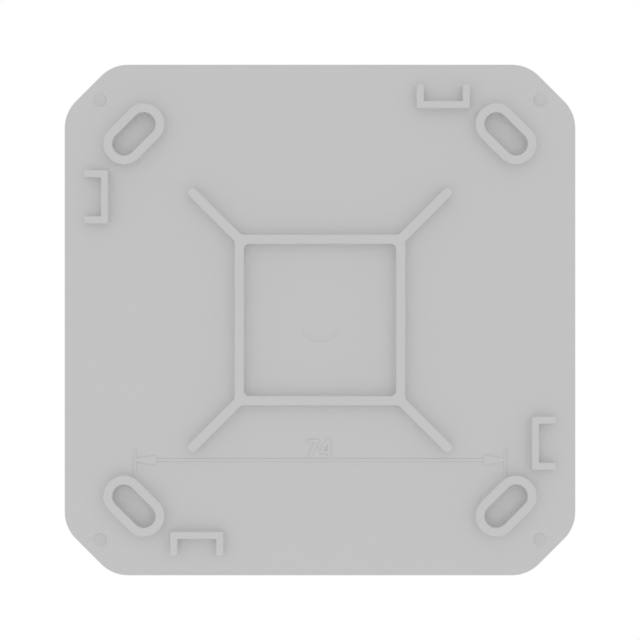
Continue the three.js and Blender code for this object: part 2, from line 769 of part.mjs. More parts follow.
function jackCore() {
  const gap = JACK_METAL + CLEARANCE;
  const inside = JACK_HALF_WIDTH - gap;
  const mouth = JACK_MOUTH + gap;
  const low = JACK_LOW + gap;
  const core = box(-inside, inside, low, REAR_SEAT - CLEARANCE, mouth, JACK_REAR - gap);
  const pocketHalf = (CONTACT_COUNT * CONTACT_PITCH) / 2 + CLEARANCE;
  const socketEnd = JACK_MOUTH + SOCKET_DEPTH;
  const pocketFront = CONTACT_REAR - CONTACT_LENGTH - NOTCH_GAP;
  const pocketRear = CONTACT_REAR + NOTCH_GAP;
  const pocketTop = SOCKET_LOW + OVERRUN;
  const pocket = box(-pocketHalf, pocketHalf, low - OVERRUN, pocketTop, pocketFront, pocketRear);
  return core.subtract(socketOpening(0, mouth - OVERRUN, socketEnd)).subtract(pocket);
}

// Eight sprung contacts on one carrier strip. Each runs to the mouth, turns, and slants back inwards.
function jackContacts() {
  const front = CONTACT_REAR - CONTACT_LENGTH;
  const low = JACK_LOW + JACK_METAL + CLEARANCE;
  const half = (CONTACT_COUNT * CONTACT_PITCH) / 2;
  const carrierTop = SOCKET_LOW - NOTCH_GAP;
  const carrier = box(-half, half, low, carrierTop, CONTACT_REAR - CARRIER_DEPTH, CONTACT_REAR);
  const bottom = low + CONTACT_WIRE / 2;
  const tip = CONTACT_REAR - CONTACT_TIP_INSET;
  const slope = (CONTACT_TIP_HEIGHT - bottom) / (tip - front);
  const drop = CONTACT_WIRE * Math.hypot(1, slope);
  const root = CONTACT_REAR - CARRIER_DEPTH / 2;
  const outline = roundedOutline(
    corners([
      [root, bottom],
      [root, bottom + CONTACT_WIRE],
      [front + (CONTACT_WIRE + drop) / slope, bottom + CONTACT_WIRE],
      [tip, CONTACT_TIP_HEIGHT - drop],
      [tip, CONTACT_TIP_HEIGHT],
      [front, bottom],
    ]),
    0,
  );
  const fingers = [];
  for (let i = 0; i < CONTACT_COUNT; i += 1) {
    const x = (i - (CONTACT_COUNT - 1) / 2) * CONTACT_PITCH;
    fingers.push(sidePrism(outline, x - CONTACT_WIDTH / 2, x + CONTACT_WIDTH / 2));
  }
  return joined([carrier, ...fingers]);
}

// A moulded chip on the rear side of the board.
function chip(x, z, width, height, thickness) {
  return block(x, z, width, height, REAR_SEAT - thickness, REAR_SEAT);
}

// A can capacitor: rounded top, and a groove rolled in above its foot.
function capacitor(x, z) {
  const top = REAR_SEAT - CAPACITOR_HEIGHT;
  const radius = CAPACITOR_RADIUS;
  const groove = REAR_SEAT - CAPACITOR_GROOVE;
  return turned(x, z, [
    [0, top],
    [radius - CAPACITOR_ROUND, top],
    [radius, top + CAPACITOR_ROUND],
    [radius, groove - CAPACITOR_ROUND],
    [radius - CAPACITOR_ROUND, groove],
    [radius, groove + CAPACITOR_ROUND],
    [radius, REAR_SEAT],
    [0, REAR_SEAT],
  ]);
}

// A drum-shaped choke: two flanges with the winding between them.
function choke(x, z) {
  const top = REAR_SEAT - CHOKE_HEIGHT;
  const waist = CHOKE_RADIUS - CHOKE_FLANGE;
  return turned(x, z, [
    [0, top],
    [CHOKE_RADIUS, top],
    [CHOKE_RADIUS, top + CHOKE_FLANGE],
    [waist, top + CHOKE_FLANGE],
    [waist, REAR_SEAT - CHOKE_FLANGE],
    [CHOKE_RADIUS, REAR_SEAT - CHOKE_FLANGE],
    [CHOKE_RADIUS, REAR_SEAT],
    [0, REAR_SEAT],
  ]);
}

const TRANSFORMER_TOP = REAR_SEAT - TRANSFORMER_HEIGHT;
const WINDOW_LOW = TRANSFORMER_TOP + CORE_LEG;
const WINDOW_HIGH = REAR_SEAT - TRANSFORMER_LIFT - CORE_LEG;

// Ferrite core: a square ring that stands round the winding, with its middle leg left out.
function transformerCore() {
  const high = REAR_SEAT - TRANSFORMER_LIFT;
  const [x, z] = TRANSFORMER_PLACE;
  const outer = block(x, z, CORE_WIDTH, CORE_DEPTH, TRANSFORMER_TOP, high);
  const windowWidth = CORE_WIDTH - 2 * CORE_LEG;
  return outer.subtract(block(x, z, windowWidth, 2 * CORE_DEPTH, WINDOW_LOW, WINDOW_HIGH));
}

// The taped winding, with a bobbin foot at each end of it.
function transformerCoil() {
  const [x, z] = TRANSFORMER_PLACE;
  const width = CORE_WIDTH - 2 * CORE_LEG - 2 * CLEARANCE;
  const low = WINDOW_LOW + CLEARANCE;
  const coil = block(x, z, width, COIL_LENGTH, low, WINDOW_HIGH - CLEARANCE);
  const shift = (CORE_DEPTH + BOBBIN_FOOT) / 2 + CLEARANCE;
  const feet = [-shift, shift].map((place) =>
    block(x, z + place, CORE_WIDTH - CORE_LEG, BOBBIN_FOOT, low + OVERRUN, REAR_SEAT),
  );
  return joined([coil, ...feet]);
}

function thermalPad() {
  const [x, z] = PROCESSOR_PLACE;
  const high = REAR_SEAT - CHIP_THICKNESS - SEAT;
  return block(x, z, PAD_SIDE, PAD_SIDE, high - PAD_THICKNESS, high);
}

function heatSink() {
  const [x, z] = PROCESSOR_PLACE;
  const seat = REAR_SEAT - CHIP_THICKNESS - PAD_THICKNESS - 2 * SEAT;
  const base = block(x, z, SINK_SIDE, SINK_SIDE, seat - SINK_BASE, seat);
  const first = x - (SINK_SIDE - FIN_WIDTH) / 2;
  const pitch = (SINK_SIDE - FIN_WIDTH) / (FIN_COUNT - 1);
  const fins = [];
  for (let i = 0; i < FIN_COUNT; i += 1) {
    fins.push(block(first + i * pitch, z, FIN_WIDTH, SINK_SIDE, seat - SINK_HEIGHT, seat));
  }
  return joined([base, ...fins]);
}

function shieldCan() {
  const [x, z] = RADIO_PLACE;
  const low = REAR_SEAT - CAN_HEIGHT;
  const outer = block(x, z, CAN_WIDTH, CAN_DEPTH, low, REAR_SEAT);
  const insideWidth = CAN_WIDTH - 2 * SHEET;
  const insideDepth = CAN_DEPTH - 2 * SHEET;
  return outer.subtract(block(x, z, insideWidth, insideDepth, low + SHEET, REAR_SEAT + OVERRUN));
}

// A stamped antenna on the front side: a slotted strip, two legs at one end and a prop at the other.
function antenna(x, z, length, width, height) {
  const top = FRONT_SEAT + height;
  const strip = block(x, z, length, width, top - SHEET, top);
  const slotLength = length - 4 * ANTENNA_LEG;
  const slot = block(x + ANTENNA_LEG, z, slotLength, ANTENNA_SLOT, top - OVERRUN, top + OVERRUN);
  const legZ = z + (width - SHEET) / 2;
  const legX = x - (length - ANTENNA_LEG) / 2;
  const legs = [legX, legX + ANTENNA_FEED].map((place) =>
    block(place, legZ, ANTENNA_LEG, SHEET, FRONT_SEAT, top),
  );
  const prop = block(x + (length - SHEET) / 2, z, SHEET, ANTENNA_LEG, FRONT_SEAT, top);
  return joined([strip.subtract(slot), ...legs, prop]);
}

// ---------------------------------------------------------------------------------------------
// Assembly
// ---------------------------------------------------------------------------------------------

const group = new THREE.Group();

function addPiece(name, solid, material) {
  const mesh = new THREE.Mesh(geometryOf(solid), material);
  mesh.name = name;
  group.add(mesh);
}

addPiece("mounting_base", mountingBase(), MATERIALS.basePlastic);
addPiece("front_shell", frontShell(), MATERIALS.shellPlastic);
addPiece("light_pipe", lightPipe(), MATERIALS.clearPlastic);
addPiece("reset_button_cap", buttonCap(), MATERIALS.shellPlastic);
addPiece("reset_switch_housing", switchHousing(), MATERIALS.blackPlastic);
addPiece("reset_switch_stem", switchStem(), MATERIALS.lamp);

addPiece("circuit_board", circuitBoard(), MATERIALS.board);
let screwNumber = 0;
for (const z of [BOSS_PLACE, -BOSS_PLACE]) {
  for (const x of [-BOSS_PLACE, BOSS_PLACE]) {
    screwNumber += 1;
    addPiece(`board_screw_${screwNumber}`, boardScrew(x, z), MATERIALS.steel);
  }
}

addPiece("ethernet_jack_shield", jackShield(), MATERIALS.steel);
addPiece("ethernet_jack_core", jackCore(), MATERIALS.blackPlastic);
addPiece("ethernet_jack_contacts", jackContacts(), MATERIALS.contactMetal);

addPiece("poe_transformer_core", transformerCore(), MATERIALS.ferrite);
addPiece("poe_transformer_coil", transformerCoil(), MATERIALS.tape);
addPiece("bulk_capacitor_1", capacitor(-16, -38), MATERIALS.sleeve);
addPiece("bulk_capacitor_2", capacitor(-26, -38), MATERIALS.sleeve);
addPiece("poe_choke", choke(-35, -3), MATERIALS.ferrite);

// Name, middle in X and Z, width, height and thickness of each moulded piece.
const CHIPS = [
  ["lan_transformer", 0, -22, 15.2, 9.6, 4.2],
  ["bridge_rectifier_1", -14, -29, 6.2, 4.6, 2.2],
  ["bridge_rectifier_2", -14, -21, 6.2, 4.6, 2.2],
  ["poe_controller_chip", -18, -9, 6.0, 6.0, 1.0],
  ["processor_chip", ...PROCESSOR_PLACE, 15.0, 15.0, CHIP_THICKNESS],
  ["memory_chip", -17, 12, 9.0, 13.0, 1.0],
  ["flash_chip", -17, 27, 8.0, 6.0, 1.6],
  ["ethernet_phy_chip", 18, -18, 9.0, 9.0, 0.9],
  ["radio_chip", ...RADIO_PLACE, 9.0, 9.0, 0.9],
];
for (const [name, x, z, width, height, thickness] of CHIPS) {
  addPiece(name, chip(x, z, width, height, thickness), MATERIALS.blackPlastic);
}
addPiece("crystal_can", chip(-4, 30, 5.0, 3.2, 1.0), MATERIALS.steel);
addPiece("thermal_pad", thermalPad(), MATERIALS.pad);
addPiece("heat_sink", heatSink(), MATERIALS.aluminium);
addPiece("radio_shield_can", shieldCan(), MATERIALS.steel);

// Name, middle in X and Z, length, width and height of each antenna.
const ANTENNAS = [
  ["antenna_low_band_left", -20, 38, 26, 8, 5.0],
  ["antenna_low_band_right", 20, 38, 26, 8, 5.0],
  ["antenna_high_band_left", -38, 4, 12, 6, 3.6],
  ["antenna_high_band_right", 38, 4, 12, 6, 3.6],
];
for (const [name, x, z, length, width, height] of ANTENNAS) {
  addPiece(name, antenna(x, z, length, width, height), MATERIALS.contactMetal);
}

const lampBody = block(0, LIGHT_Z, LAMP_WIDTH, LAMP_DEPTH, FRONT_SEAT, FRONT_SEAT + LAMP_HEIGHT);
addPiece("status_led", lampBody, MATERIALS.lamp);

export default group;
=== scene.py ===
"""Ceiling access point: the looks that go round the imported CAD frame.

Lengths in this file are millimetres in the frame's own axes (X across, Z up, Y from the mounting
plane out to the front face). They turn into Blender's metres where a mesh is made.
"""
import math
import random

import bmesh
import bpy
from mathutils import Matrix, Vector


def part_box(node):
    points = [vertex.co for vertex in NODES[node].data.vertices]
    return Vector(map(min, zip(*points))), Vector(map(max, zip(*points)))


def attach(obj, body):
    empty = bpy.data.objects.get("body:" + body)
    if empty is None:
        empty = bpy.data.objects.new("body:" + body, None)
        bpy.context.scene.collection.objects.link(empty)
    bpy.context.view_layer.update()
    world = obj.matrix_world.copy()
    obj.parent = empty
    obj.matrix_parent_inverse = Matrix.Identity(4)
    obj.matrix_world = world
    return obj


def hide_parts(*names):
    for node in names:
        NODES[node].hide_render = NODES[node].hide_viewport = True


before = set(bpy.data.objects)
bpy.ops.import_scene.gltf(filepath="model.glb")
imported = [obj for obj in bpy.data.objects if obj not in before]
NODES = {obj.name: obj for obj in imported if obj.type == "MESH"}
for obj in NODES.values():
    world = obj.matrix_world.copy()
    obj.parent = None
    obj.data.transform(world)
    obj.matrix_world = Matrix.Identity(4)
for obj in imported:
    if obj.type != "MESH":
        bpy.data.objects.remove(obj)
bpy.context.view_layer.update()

MM = 0.001


def nodes_named(start):
    """The CAD nodes whose names start alike, in order."""
    return sorted(name for name in NODES if name.startswith(start))


def node_box(name):
    """Lowest and highest corner of a CAD node, in millimetres."""
    low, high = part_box(name)
    return low / MM, high / MM


# ==== Driving dimensions ====

BASE_LOW, BASE_HIGH = node_box("mounting_base")
SHELL_LOW, SHELL_HIGH = node_box("front_shell")

HALF = BASE_HIGH.x
CORNER_CUT = 9.5
CORNER_RADIUS = 7.5
INSET_CUT = 2 - math.sqrt(2)  # how much of an inset the corner cut loses

RIB_TOP = BASE_LOW.y
PLATE_BACK = 2.0
PLATE_FRONT = 4.0
PLATE_EDGE = 0.22
PLATE_SWELL = 0.05
FOOT_FILLET = 0.1
TOP_EDGE = 0.12
RIB_DRAFT = 0.03
CURVE_STEPS = 4

FRAME_OUTER = 17.0
FRAME_INNER = 15.1
FRAME_FILLET = 1.0
DIAGONAL_HALF = 0.95
DIAGONAL_TIP = 26.0
SLOT_PLACE = 37.0
SLOT_LENGTH = 10.15
SLOT_WIDTH = 4.6
SLOT_WALL = 1.8
SLOT_FLOOR = 2.25
SLOT_RELIEF = 2.85
EDGE_RIB_OFFSET = 24.5
EDGE_RIB_HALF = 5.3
EDGE_RIB_WALL = 1.45
EDGE_RIB_INNER = 42.1
EDGE_RIB_OUTER = 46.9
PIN_PLACE = 44.0
PIN_RADIUS = 1.45
PIN_DEPTH = 0.4
PIN_WALL = 0.26
PIN_TILT = 0.45
DIMPLE_RADIUS = 4.5
DIMPLE_DEPTH = 0.36
DIMPLE_WALL = 0.4
DIMPLE_START = 14.0
DIMPLE_STEP = 0.008
DIMPLE_STEPS = 32
MARK_TOP = 1.8
MARK_SINK = 0.04
MARK_BEVEL = 0.05

LIP_INSET = 2.7
LIP_WALL = 1.2
LIP_TOP = 6.0
LIP_ARM_HALF = 5.7
LIP_JACK_HALF = 10.0
ARM_HALF = 4.5
ARM_WALL = 1.4
ARM_TOP = BASE_HIGH.y
BARB_LOW = 8.2
BARB_HIGH = 10.6
BARB_REACH = 0.9

RIM = SHELL_LOW.y
EDGE_START = 21.5
FACE = 28.0
CROWN = SHELL_HIGH.y - FACE
WALL = 2.0
RIM_INSET = 0.2
RIM_EDGE = 0.25
WALL_DRAFT = 1.0
WALL_REACH = 6.0


# ==== Outlines: lists of (u, v) points, anticlockwise ====

def rounded(corners, radius, grow=0.0, steps=CURVE_STEPS):
    """Points along an outline grown outwards, with an arc at each corner."""
    radii = radius if isinstance(radius, (list, tuple)) else [radius] * len(corners)
    points = []
    for i, corner in enumerate(corners):
        here = Vector(corner)
        arrive = (here - Vector(corners[i - 1])).normalized()
        leave = (Vector(corners[(i + 1) % len(corners)]) - here).normalized()
        side = 1.0 if arrive.x * leave.y - arrive.y * leave.x > 0 else -1.0
        out_before = Vector((arrive.y, -arrive.x))
        out_after = Vector((leave.y, -leave.x))
        mitre = (out_before + out_after) / (1 + out_before.dot(out_after))
        bend = max(radii[i] + side * grow, 0.01)
        centre = here + mitre * grow - mitre * bend * side
        start = math.atan2(out_before.y, out_before.x)
        turn = side * math.acos(max(-1.0, min(1.0, out_before.dot(out_after))))
        for k in range(steps + 1):
            angle = start + turn * k / steps
            ray = Vector((math.cos(angle), math.sin(angle)))
            points.append(tuple(centre + ray * bend * side))
    return points


def turned(points, degrees, centre=(0.0, 0.0)):
    """The same points turned anticlockwise about the origin, then moved to a centre."""
    angle = math.radians(degrees)
    c, s = math.cos(angle), math.sin(angle)
    return [(u * c - v * s + centre[0], u * s + v * c + centre[1]) for u, v in points]


def pill(length, width, grow=0.0):
    """A bar with round ends, along u."""
    half, end = length / 2, width / 2
    corners = [(half, -end), (half, end), (-half, end), (-half, -end)]
    return rounded(corners, end * 0.98, grow, 12)


def circle(radius, centre=(0.0, 0.0), steps=48):
    angles = [2 * math.pi * k / steps for k in range(steps)]
    return [(radius * math.cos(a) + centre[0], radius * math.sin(a) + centre[1]) for a in angles]


def box_outline(left, right, low, high, bend=0.3):
    """A rounded box, as a function of how far it has grown."""
    corners = [(right, low), (right, high), (left, high), (left, low)]
    return lambda grow: rounded(corners, bend, grow, 3)


def box_at(half_u, half_v, bend, centre, turn=0):
    """A rounded box turned about its middle and put at a place, as a function of its growth."""
    outline = box_outline(-half_u, half_u, -half_v, half_v, bend)
    return lambda grow: turned(outline(grow), turn, centre)


def four_places(reach):
    """The same place in each corner of the plate."""
    return [(x, z) for x in (-reach, reach) for z in (-reach, reach)]


def octagon(inset):
    """Corners of the square outline with its corners cut, moved inwards."""
    half = HALF - inset
    flat = half - (CORNER_CUT - INSET_CUT * inset)
    return [
        (half, -flat), (half, flat), (flat, half), (-flat, half),
        (-half, flat), (-half, -flat), (-flat, -half), (flat, -half),
    ]


def unit_outline(inset):
    """The plate's outline, moved inwards."""
    return rounded(octagon(inset), max(CORNER_RADIUS - inset, 1.0), 0.0, 8)


def quarter(steps=CURVE_STEPS):
    """Sine and cosine pairs through a quarter turn."""
    angles = [math.pi / 2 * k / steps for k in range(steps + 1)]
    return [(math.sin(a), math.cos(a)) for a in angles]


# ==== Skins: closed surfaces made of rings, strips between them, and flat fills ====

def placement(u, v, w, origin=(0, 0, 0)):
    """Puts a drawing's u, v and level along the given directions of the frame."""
    columns = [Vector(axis).normalized().to_4d() for axis in (u, v, w)]
    for column in columns:
        column.w = 0
    return Matrix((*columns, Vector(origin).to_4d())).transposed()


PLATE_PLANE = placement((1, 0, 0), (0, 0, 1), (0, 1, 0))
FLOOR_PLANE = placement((1, 0, 0), (0, 1, 0), (0, 0, 1))


class Skin:
    """A mesh under construction, in millimetres."""

    def __init__(self, place=PLATE_PLANE):
        self.mesh = bmesh.new()
        self.place = place

    def ring(self, outline, level):
        """A loop of points; level is a number, or a function of (u, v)."""
        verts = []
        for u, v in outline:
            w = level(u, v) if callable(level) else level
            verts.append(self.mesh.verts.new(self.place @ Vector((u, v, w))))
        return verts

    def strip(self, first, second):
        count = len(first)
        for i in range(count):
            j = (i + 1) % count
            self.mesh.faces.new((first[i], first[j], second[j], second[i]))

    def join(self, rings):
        """Strips between each ring and the next."""
        for lower, upper in zip(rings, rings[1:]):
            self.strip(lower, upper)

    def stack(self, outline, profile):
        """Rings of outline(growth) at each level of the profile, joined by strips."""
        rings = [self.ring(outline(grow), level) for grow, level in profile]
        self.join(rings)
        return rings

    def fill(self, *rings):
        """A flat face inside the first ring, with the others as holes in it."""
        edges = []
        for ring in rings:
            for i, vert in enumerate(ring):
                pair = (ring[i - 1], vert)
                edges.append(self.mesh.edges.get(pair) or self.mesh.edges.new(pair))
        bmesh.ops.triangle_fill(self.mesh, edges=edges, use_beauty=True, use_dissolve=False)

    def fan(self, ring):
        self.mesh.faces.new(ring)

    def bar(self, outline, profile):
        """A closed solid: a stack of rings with flat ends."""
        rings = self.stack(outline, profile)
        self.fan(rings[0])
        self.fan(rings[-1])

    def solid(self, name):
        """The mesh as an object, in metres."""
        bmesh.ops.recalc_face_normals(self.mesh, faces=self.mesh.faces)
        bmesh.ops.scale(self.mesh, vec=(MM, MM, MM), verts=self.mesh.verts)
        data = bpy.data.meshes.new(name)
        self.mesh.to_mesh(data)
        self.mesh.free()
        piece = bpy.data.objects.new(name, data)
        bpy.context.scene.collection.objects.link(piece)
        return piece

    def piece(self, name, sharp=35.0):
        """The finished object, with its sharp edges marked and its normals weighted."""
        piece = self.solid(name)
        soften(piece, sharp)
        return piece


def combine(piece, tool, operation):
    """Cuts a solid with another one, or joins them, and keeps the outcome as the first one's mesh."""
    solver = piece.modifiers.new("combine", "BOOLEAN")
    solver.object = tool
    solver.operation = operation
    solver.solver = "EXACT"
    solver.use_self = True
    view = bpy.context.evaluated_depsgraph_get()
    outcome = bpy.data.meshes.new_from_object(piece.evaluated_get(view))
    piece.modifiers.clear()
    piece.data = outcome
    bpy.data.objects.remove(tool)
    merged = bmesh.new()
    merged.from_mesh(outcome)
    bmesh.ops.remove_doubles(merged, verts=merged.verts, dist=1e-6)
    bmesh.ops.dissolve_degenerate(merged, edges=merged.edges, dist=1e-6)
    merged.to_mesh(outcome)
    merged.free()


def soften(piece, sharp=35.0):
    """Smooth shading that keeps edges over an angle, with big faces ruling the normals."""
    piece.data.shade_smooth()
    piece.data.set_sharp_from_angle(angle=math.radians(sharp))
    weighted = piece.modifiers.new("weighted", "WEIGHTED_NORMAL")
    weighted.keep_sharp = True
    weighted.weight = 80


# ==== Materials ====

# Painted highlight: the rib tops and the top of their walls are made lighter, as light falls more
# fully on them.
RIB_TOP_PAINTED_LIGHT = 1.012
RIB_TOP_LIGHT_START = 0.15
RIB_TOP_LIGHT_END = 1.2
# Painted shade: the inside of each ejector pin mark is made darker, as its shallow recess gets less
# light.
PIN_PAINTED_SHADE = 0.965
WAVE_PERIOD = 0.314  # between the bands of a wave texture whose scale is 1
TRACK_CREST = 0.72
TRACK_PATCH = 7.0
TRACK_COVER = 0.53
TRACK_PITCHES = (("X", 1.3), ("Z", 1.7))


def set_sockets(node, **values):
    """Sets a shader node's inputs; an underscore in a name stands for a space."""
    for socket, value in values.items():
        node.inputs[socket.replace("_", " ")].default_value = value


class Shader:
    """A node material whose texture coordinates are the frame's, in millimetres."""

    def __init__(self, name, color, roughness, metallic=0.0, **sockets):
        self.material = bpy.data.materials.new(name)
        self.material.use_nodes = True
        self.tree = self.material.node_tree
        self.surface = self.tree.nodes["Principled BSDF"]
        self.color = color
        set_sockets(self.surface, Base_Color=(*color, 1.0), Roughness=roughness)
        set_sockets(self.surface, Metallic=metallic, **sockets)
        coordinates = self.node("ShaderNodeTexCoord")
        self.scaled = self.node("ShaderNodeMapping")
        set_sockets(self.scaled, Scale=(1 / MM, 1 / MM, 1 / MM))
        self.link(coordinates.outputs["Object"], self.scaled.inputs["Vector"])
        self.height = None

    def node(self, kind, **values):
        made = self.tree.nodes.new(kind)
        for key, value in values.items():
            setattr(made, key, value)
        return made

    def link(self, source, target):
        self.tree.links.new(source, target)

    def located(self, kind, **values):
        """A node that reads the coordinates."""
        made = self.node(kind, **values)
        self.link(self.scaled.outputs["Vector"], made.inputs["Vector"])
        return made

    def noise(self, size, detail=2.0, stretch=(1, 1, 1)):
        """Noise whose grain is about size millimetres, longer along a stretched axis."""
        place = self.located("ShaderNodeMapping")
        set_sockets(place, Scale=tuple(1 / part for part in stretch))
        made = self.node("ShaderNodeTexNoise")
        set_sockets(made, Scale=1 / size, Detail=detail)
        self.link(place.outputs["Vector"], made.inputs["Vector"])
        return made.outputs["Fac"]

    def spread(self, source, low, high):
        """Maps a 0 to 1 value onto low to high."""
        made = self.node("ShaderNodeMapRange")
        set_sockets(made, To_Min=low, To_Max=high)
        self.link(source, made.inputs["Value"])
        return made.outputs["Result"]

    def vary_color(self, source, low, high):
        """Scales the base colour between two factors, following a texture."""
        made = self.node("ShaderNodeMix", data_type="RGBA")
        dark, light = [[c * factor for c in self.color] for factor in (low, high)]
        set_sockets(made, A=(*dark, 1.0), B=(*light, 1.0))
        self.link(source, made.inputs["Factor"])
        self.link(made.outputs["Result"], self.surface.inputs["Base Color"])
        return made

    def vary_roughness(self, source, low, high):
        self.link(self.spread(source, low, high), self.surface.inputs["Roughness"])

    def math(self, operation, *sources):
        """One step of arithmetic on other nodes' outputs and plain numbers."""
        made = self.node("ShaderNodeMath", operation=operation)
        for source, socket in zip(sources, made.inputs):
            if isinstance(source, float):
                socket.default_value = source
            else:
                self.link(source, socket)
        return made.outputs["Value"]

    def ramp(self, source, start, end, low, high):
        """Maps start to end onto low to high, with soft ends."""
        made = self.node("ShaderNodeMapRange", interpolation_type="SMOOTHSTEP")
        set_sockets(made, From_Min=start, From_Max=end, To_Min=low, To_Max=high)
        self.link(source, made.inputs["Value"])
        return made.outputs["Result"]

    def tracks(self, axis, pitch):
        """Bundles of fine parallel lines across one axis, in patches: 1 on a line and 0 off it."""
        lines = self.located("ShaderNodeTexWave", bands_direction=axis, wave_profile="TRI")
        set_sockets(lines, Scale=WAVE_PERIOD / pitch)
        stretch = (1, 1, 3) if axis == "X" else (3, 1, 1)
        line = self.math("GREATER_THAN", lines.outputs["Fac"], TRACK_CREST)
        patch = self.math("GREATER_THAN", self.noise(TRACK_PATCH, 0.0, stretch), TRACK_COVER)
        return self.math("MULTIPLY", line, patch)

    def pin_distance(self, coordinate):
        """Square of the distance along one axis from the nearest row of pin marks."""
        away = self.math("SUBTRACT", self.math("ABSOLUTE", coordinate), PIN_PLACE)
        return self.math("POWER", away, 2.0)

    def bump(self, source, depth):
        """Relief of a depth in millimetres; a second call adds to the first."""
        made = self.node("ShaderNodeBump")
        set_sockets(made, Distance=depth * MM, Strength=1.0)
        self.link(source, made.inputs["Height"])
        if self.height is not None:
            self.link(self.height, made.inputs["Normal"])
        self.height = made.outputs["Normal"]
        self.link(self.height, self.surface.inputs["Normal"])


def moulded_finish(made, roughness, grain, relief):
    made.vary_roughness(made.noise(2.5, 3.0), roughness - 0.05, roughness + 0.05)
    made.bump(made.noise(grain, 2.0), relief)
    return made.material


def moulded(name, color, roughness, grain=0.12, relief=0.004):
    """Injection-moulded plastic: a fine spark-eroded grain, faint flow mottling, uneven sheen."""
    made = Shader(name, color, roughness, IOR=1.5)
    made.vary_color(made.noise(14.0, 3.0), 0.992, 1.008)
    return moulded_finish(made, roughness, grain, relief)


def plate_plastic(name, color, roughness):
    """Moulded plastic with a painted highlight on the rib tops and painted shade inside the ejector
    pin marks.
    """
    made = Shader(name, color, roughness, IOR=1.5)
    mottle = made.vary_color(made.noise(14.0, 3.0), 0.994, 1.006)
    parts = made.located("ShaderNodeSeparateXYZ")
    # Painted highlight: colour made lighter on the rib tops, fading out down their walls.
    painted_top_light = made.ramp(parts.outputs["Y"], RIB_TOP_LIGHT_START, RIB_TOP_LIGHT_END, RIB_TOP_PAINTED_LIGHT, 1.0)
    away = made.math("ADD", *[made.pin_distance(parts.outputs[axis]) for axis in "XZ"])
    inside, outside = (PIN_RADIUS - 0.2) ** 2, (PIN_RADIUS + 0.1) ** 2
    # Painted shade: colour made darker inside each ejector pin mark.
    pin_shade = made.ramp(away, inside, outside, PIN_PAINTED_SHADE, 1.0)
    shade = made.node("ShaderNodeVectorMath", operation="SCALE")
    made.link(mottle.outputs["Result"], shade.inputs[0])
    made.link(made.math("MULTIPLY", painted_top_light, pin_shade), shade.inputs["Scale"])
    made.link(shade.outputs["Vector"], made.surface.inputs["Base Color"])
    return moulded_finish(made, roughness, 0.12, 0.003)


def polished(name, color, roughness, grain=1.5):
    """Glossy plastic or lacquer with a slight orange peel."""
    made = Shader(name, color, roughness, IOR=1.5)
    made.vary_color(made.noise(6.0), 0.97, 1.03)
    made.vary_roughness(made.noise(0.8), roughness * 0.8, roughness * 1.25)
    made.bump(made.noise(grain), 0.01)
    return made.material


def solder_mask(name, color, roughness):
    """Green lacquer over copper tracks, which show as slightly lighter raised lines."""
    made = Shader(name, color, roughness, IOR=1.5)
    copper = made.math("MAXIMUM", *[made.tracks(axis, pitch) for axis, pitch in TRACK_PITCHES])
    made.vary_color(copper, 0.92, 1.75)
    made.vary_roughness(made.noise(0.8), roughness * 0.85, roughness * 1.2)
    made.bump(copper, 0.02)
    made.bump(made.noise(0.6), 0.006)
    return made.material


def meshed(name, color, roughness, pitch):
    """Plastic with a fine square mesh moulded in it."""
    made = Shader(name, color, roughness)
    holes = made.located("ShaderNodeTexChecker")
    set_sockets(holes, Scale=1 / pitch)
    made.vary_color(holes.outputs["Fac"], 0.5, 1.5)
    made.vary_roughness(made.noise(1.0), roughness - 0.1, roughness)
    made.bump(holes.outputs["Fac"], 0.08)
    return made.material


def brushed(name, color, roughness, along=(14, 1, 1)):
    """Sheet or extruded metal with fine drawing lines along one axis."""
    made = Shader(name, color, roughness, metallic=1.0)
    lines = made.noise(0.12, 2.0, stretch=along)
    made.vary_color(lines, 0.93, 1.04)
    made.vary_roughness(lines, roughness * 0.8, roughness * 1.3)
    made.bump(lines, 0.004)
    return made.material


MATERIALS = {
    "base": plate_plastic("base_plastic", (0.703, 0.703, 0.703), 0.55),
    "shell": moulded("shell_plastic", (0.735, 0.735, 0.732), 0.5),
    "button": moulded("button_plastic", (0.60, 0.60, 0.60), 0.45),
    "black": moulded("black_plastic", (0.022, 0.022, 0.024), 0.5, 0.1, 0.006),
    "epoxy": moulded("chip_epoxy", (0.030, 0.030, 0.032), 0.42, 0.06, 0.004),
    "ferrite": moulded("ferrite", (0.075, 0.075, 0.080), 0.6, 0.25, 0.02),
    "stem": moulded("stem_plastic", (0.70, 0.68, 0.62), 0.4),
    "pad": moulded("thermal_pad", (0.30, 0.38, 0.46), 0.8, 0.3, 0.02),
    "steel": brushed("jack_steel", (0.72, 0.72, 0.71), 0.28),
    "can": brushed("can_steel", (0.70, 0.69, 0.66), 0.32),
    "screw": brushed("screw_steel", (0.66, 0.66, 0.67), 0.3),
    "aluminium": brushed("sink_aluminium", (0.68, 0.69, 0.70), 0.38, (1, 1, 18)),
    "tin": brushed("tinned_leads", (0.78, 0.78, 0.76), 0.3),
    "copper": polished("enamelled_copper", (0.62, 0.24, 0.09), 0.3, 0.4),
    "ceramic": moulded("ceramic", (0.30, 0.20, 0.13), 0.5, 0.1, 0.004),
    "gold": brushed("contact_gold", (0.90, 0.68, 0.32), 0.22),
    "antenna": brushed("antenna_metal", (0.80, 0.70, 0.52), 0.3),
    "tape": polished("coil_tape", (0.78, 0.50, 0.07), 0.28),
    "sleeve": polished("capacitor_sleeve", (0.018, 0.022, 0.040), 0.25),
    "lamp": polished("lamp_body", (0.86, 0.82, 0.58), 0.2),
    "window": polished("light_window", (0.86, 0.88, 0.90), 0.18),
    "board": solder_mask("solder_mask", (0.010, 0.080, 0.042), 0.3),
    "screen": meshed("screen_mesh", (0.035, 0.036, 0.040), 0.85, 0.5),
}


def paint(piece, material):
    piece.data.materials.clear()
    piece.data.materials.append(MATERIALS[material])


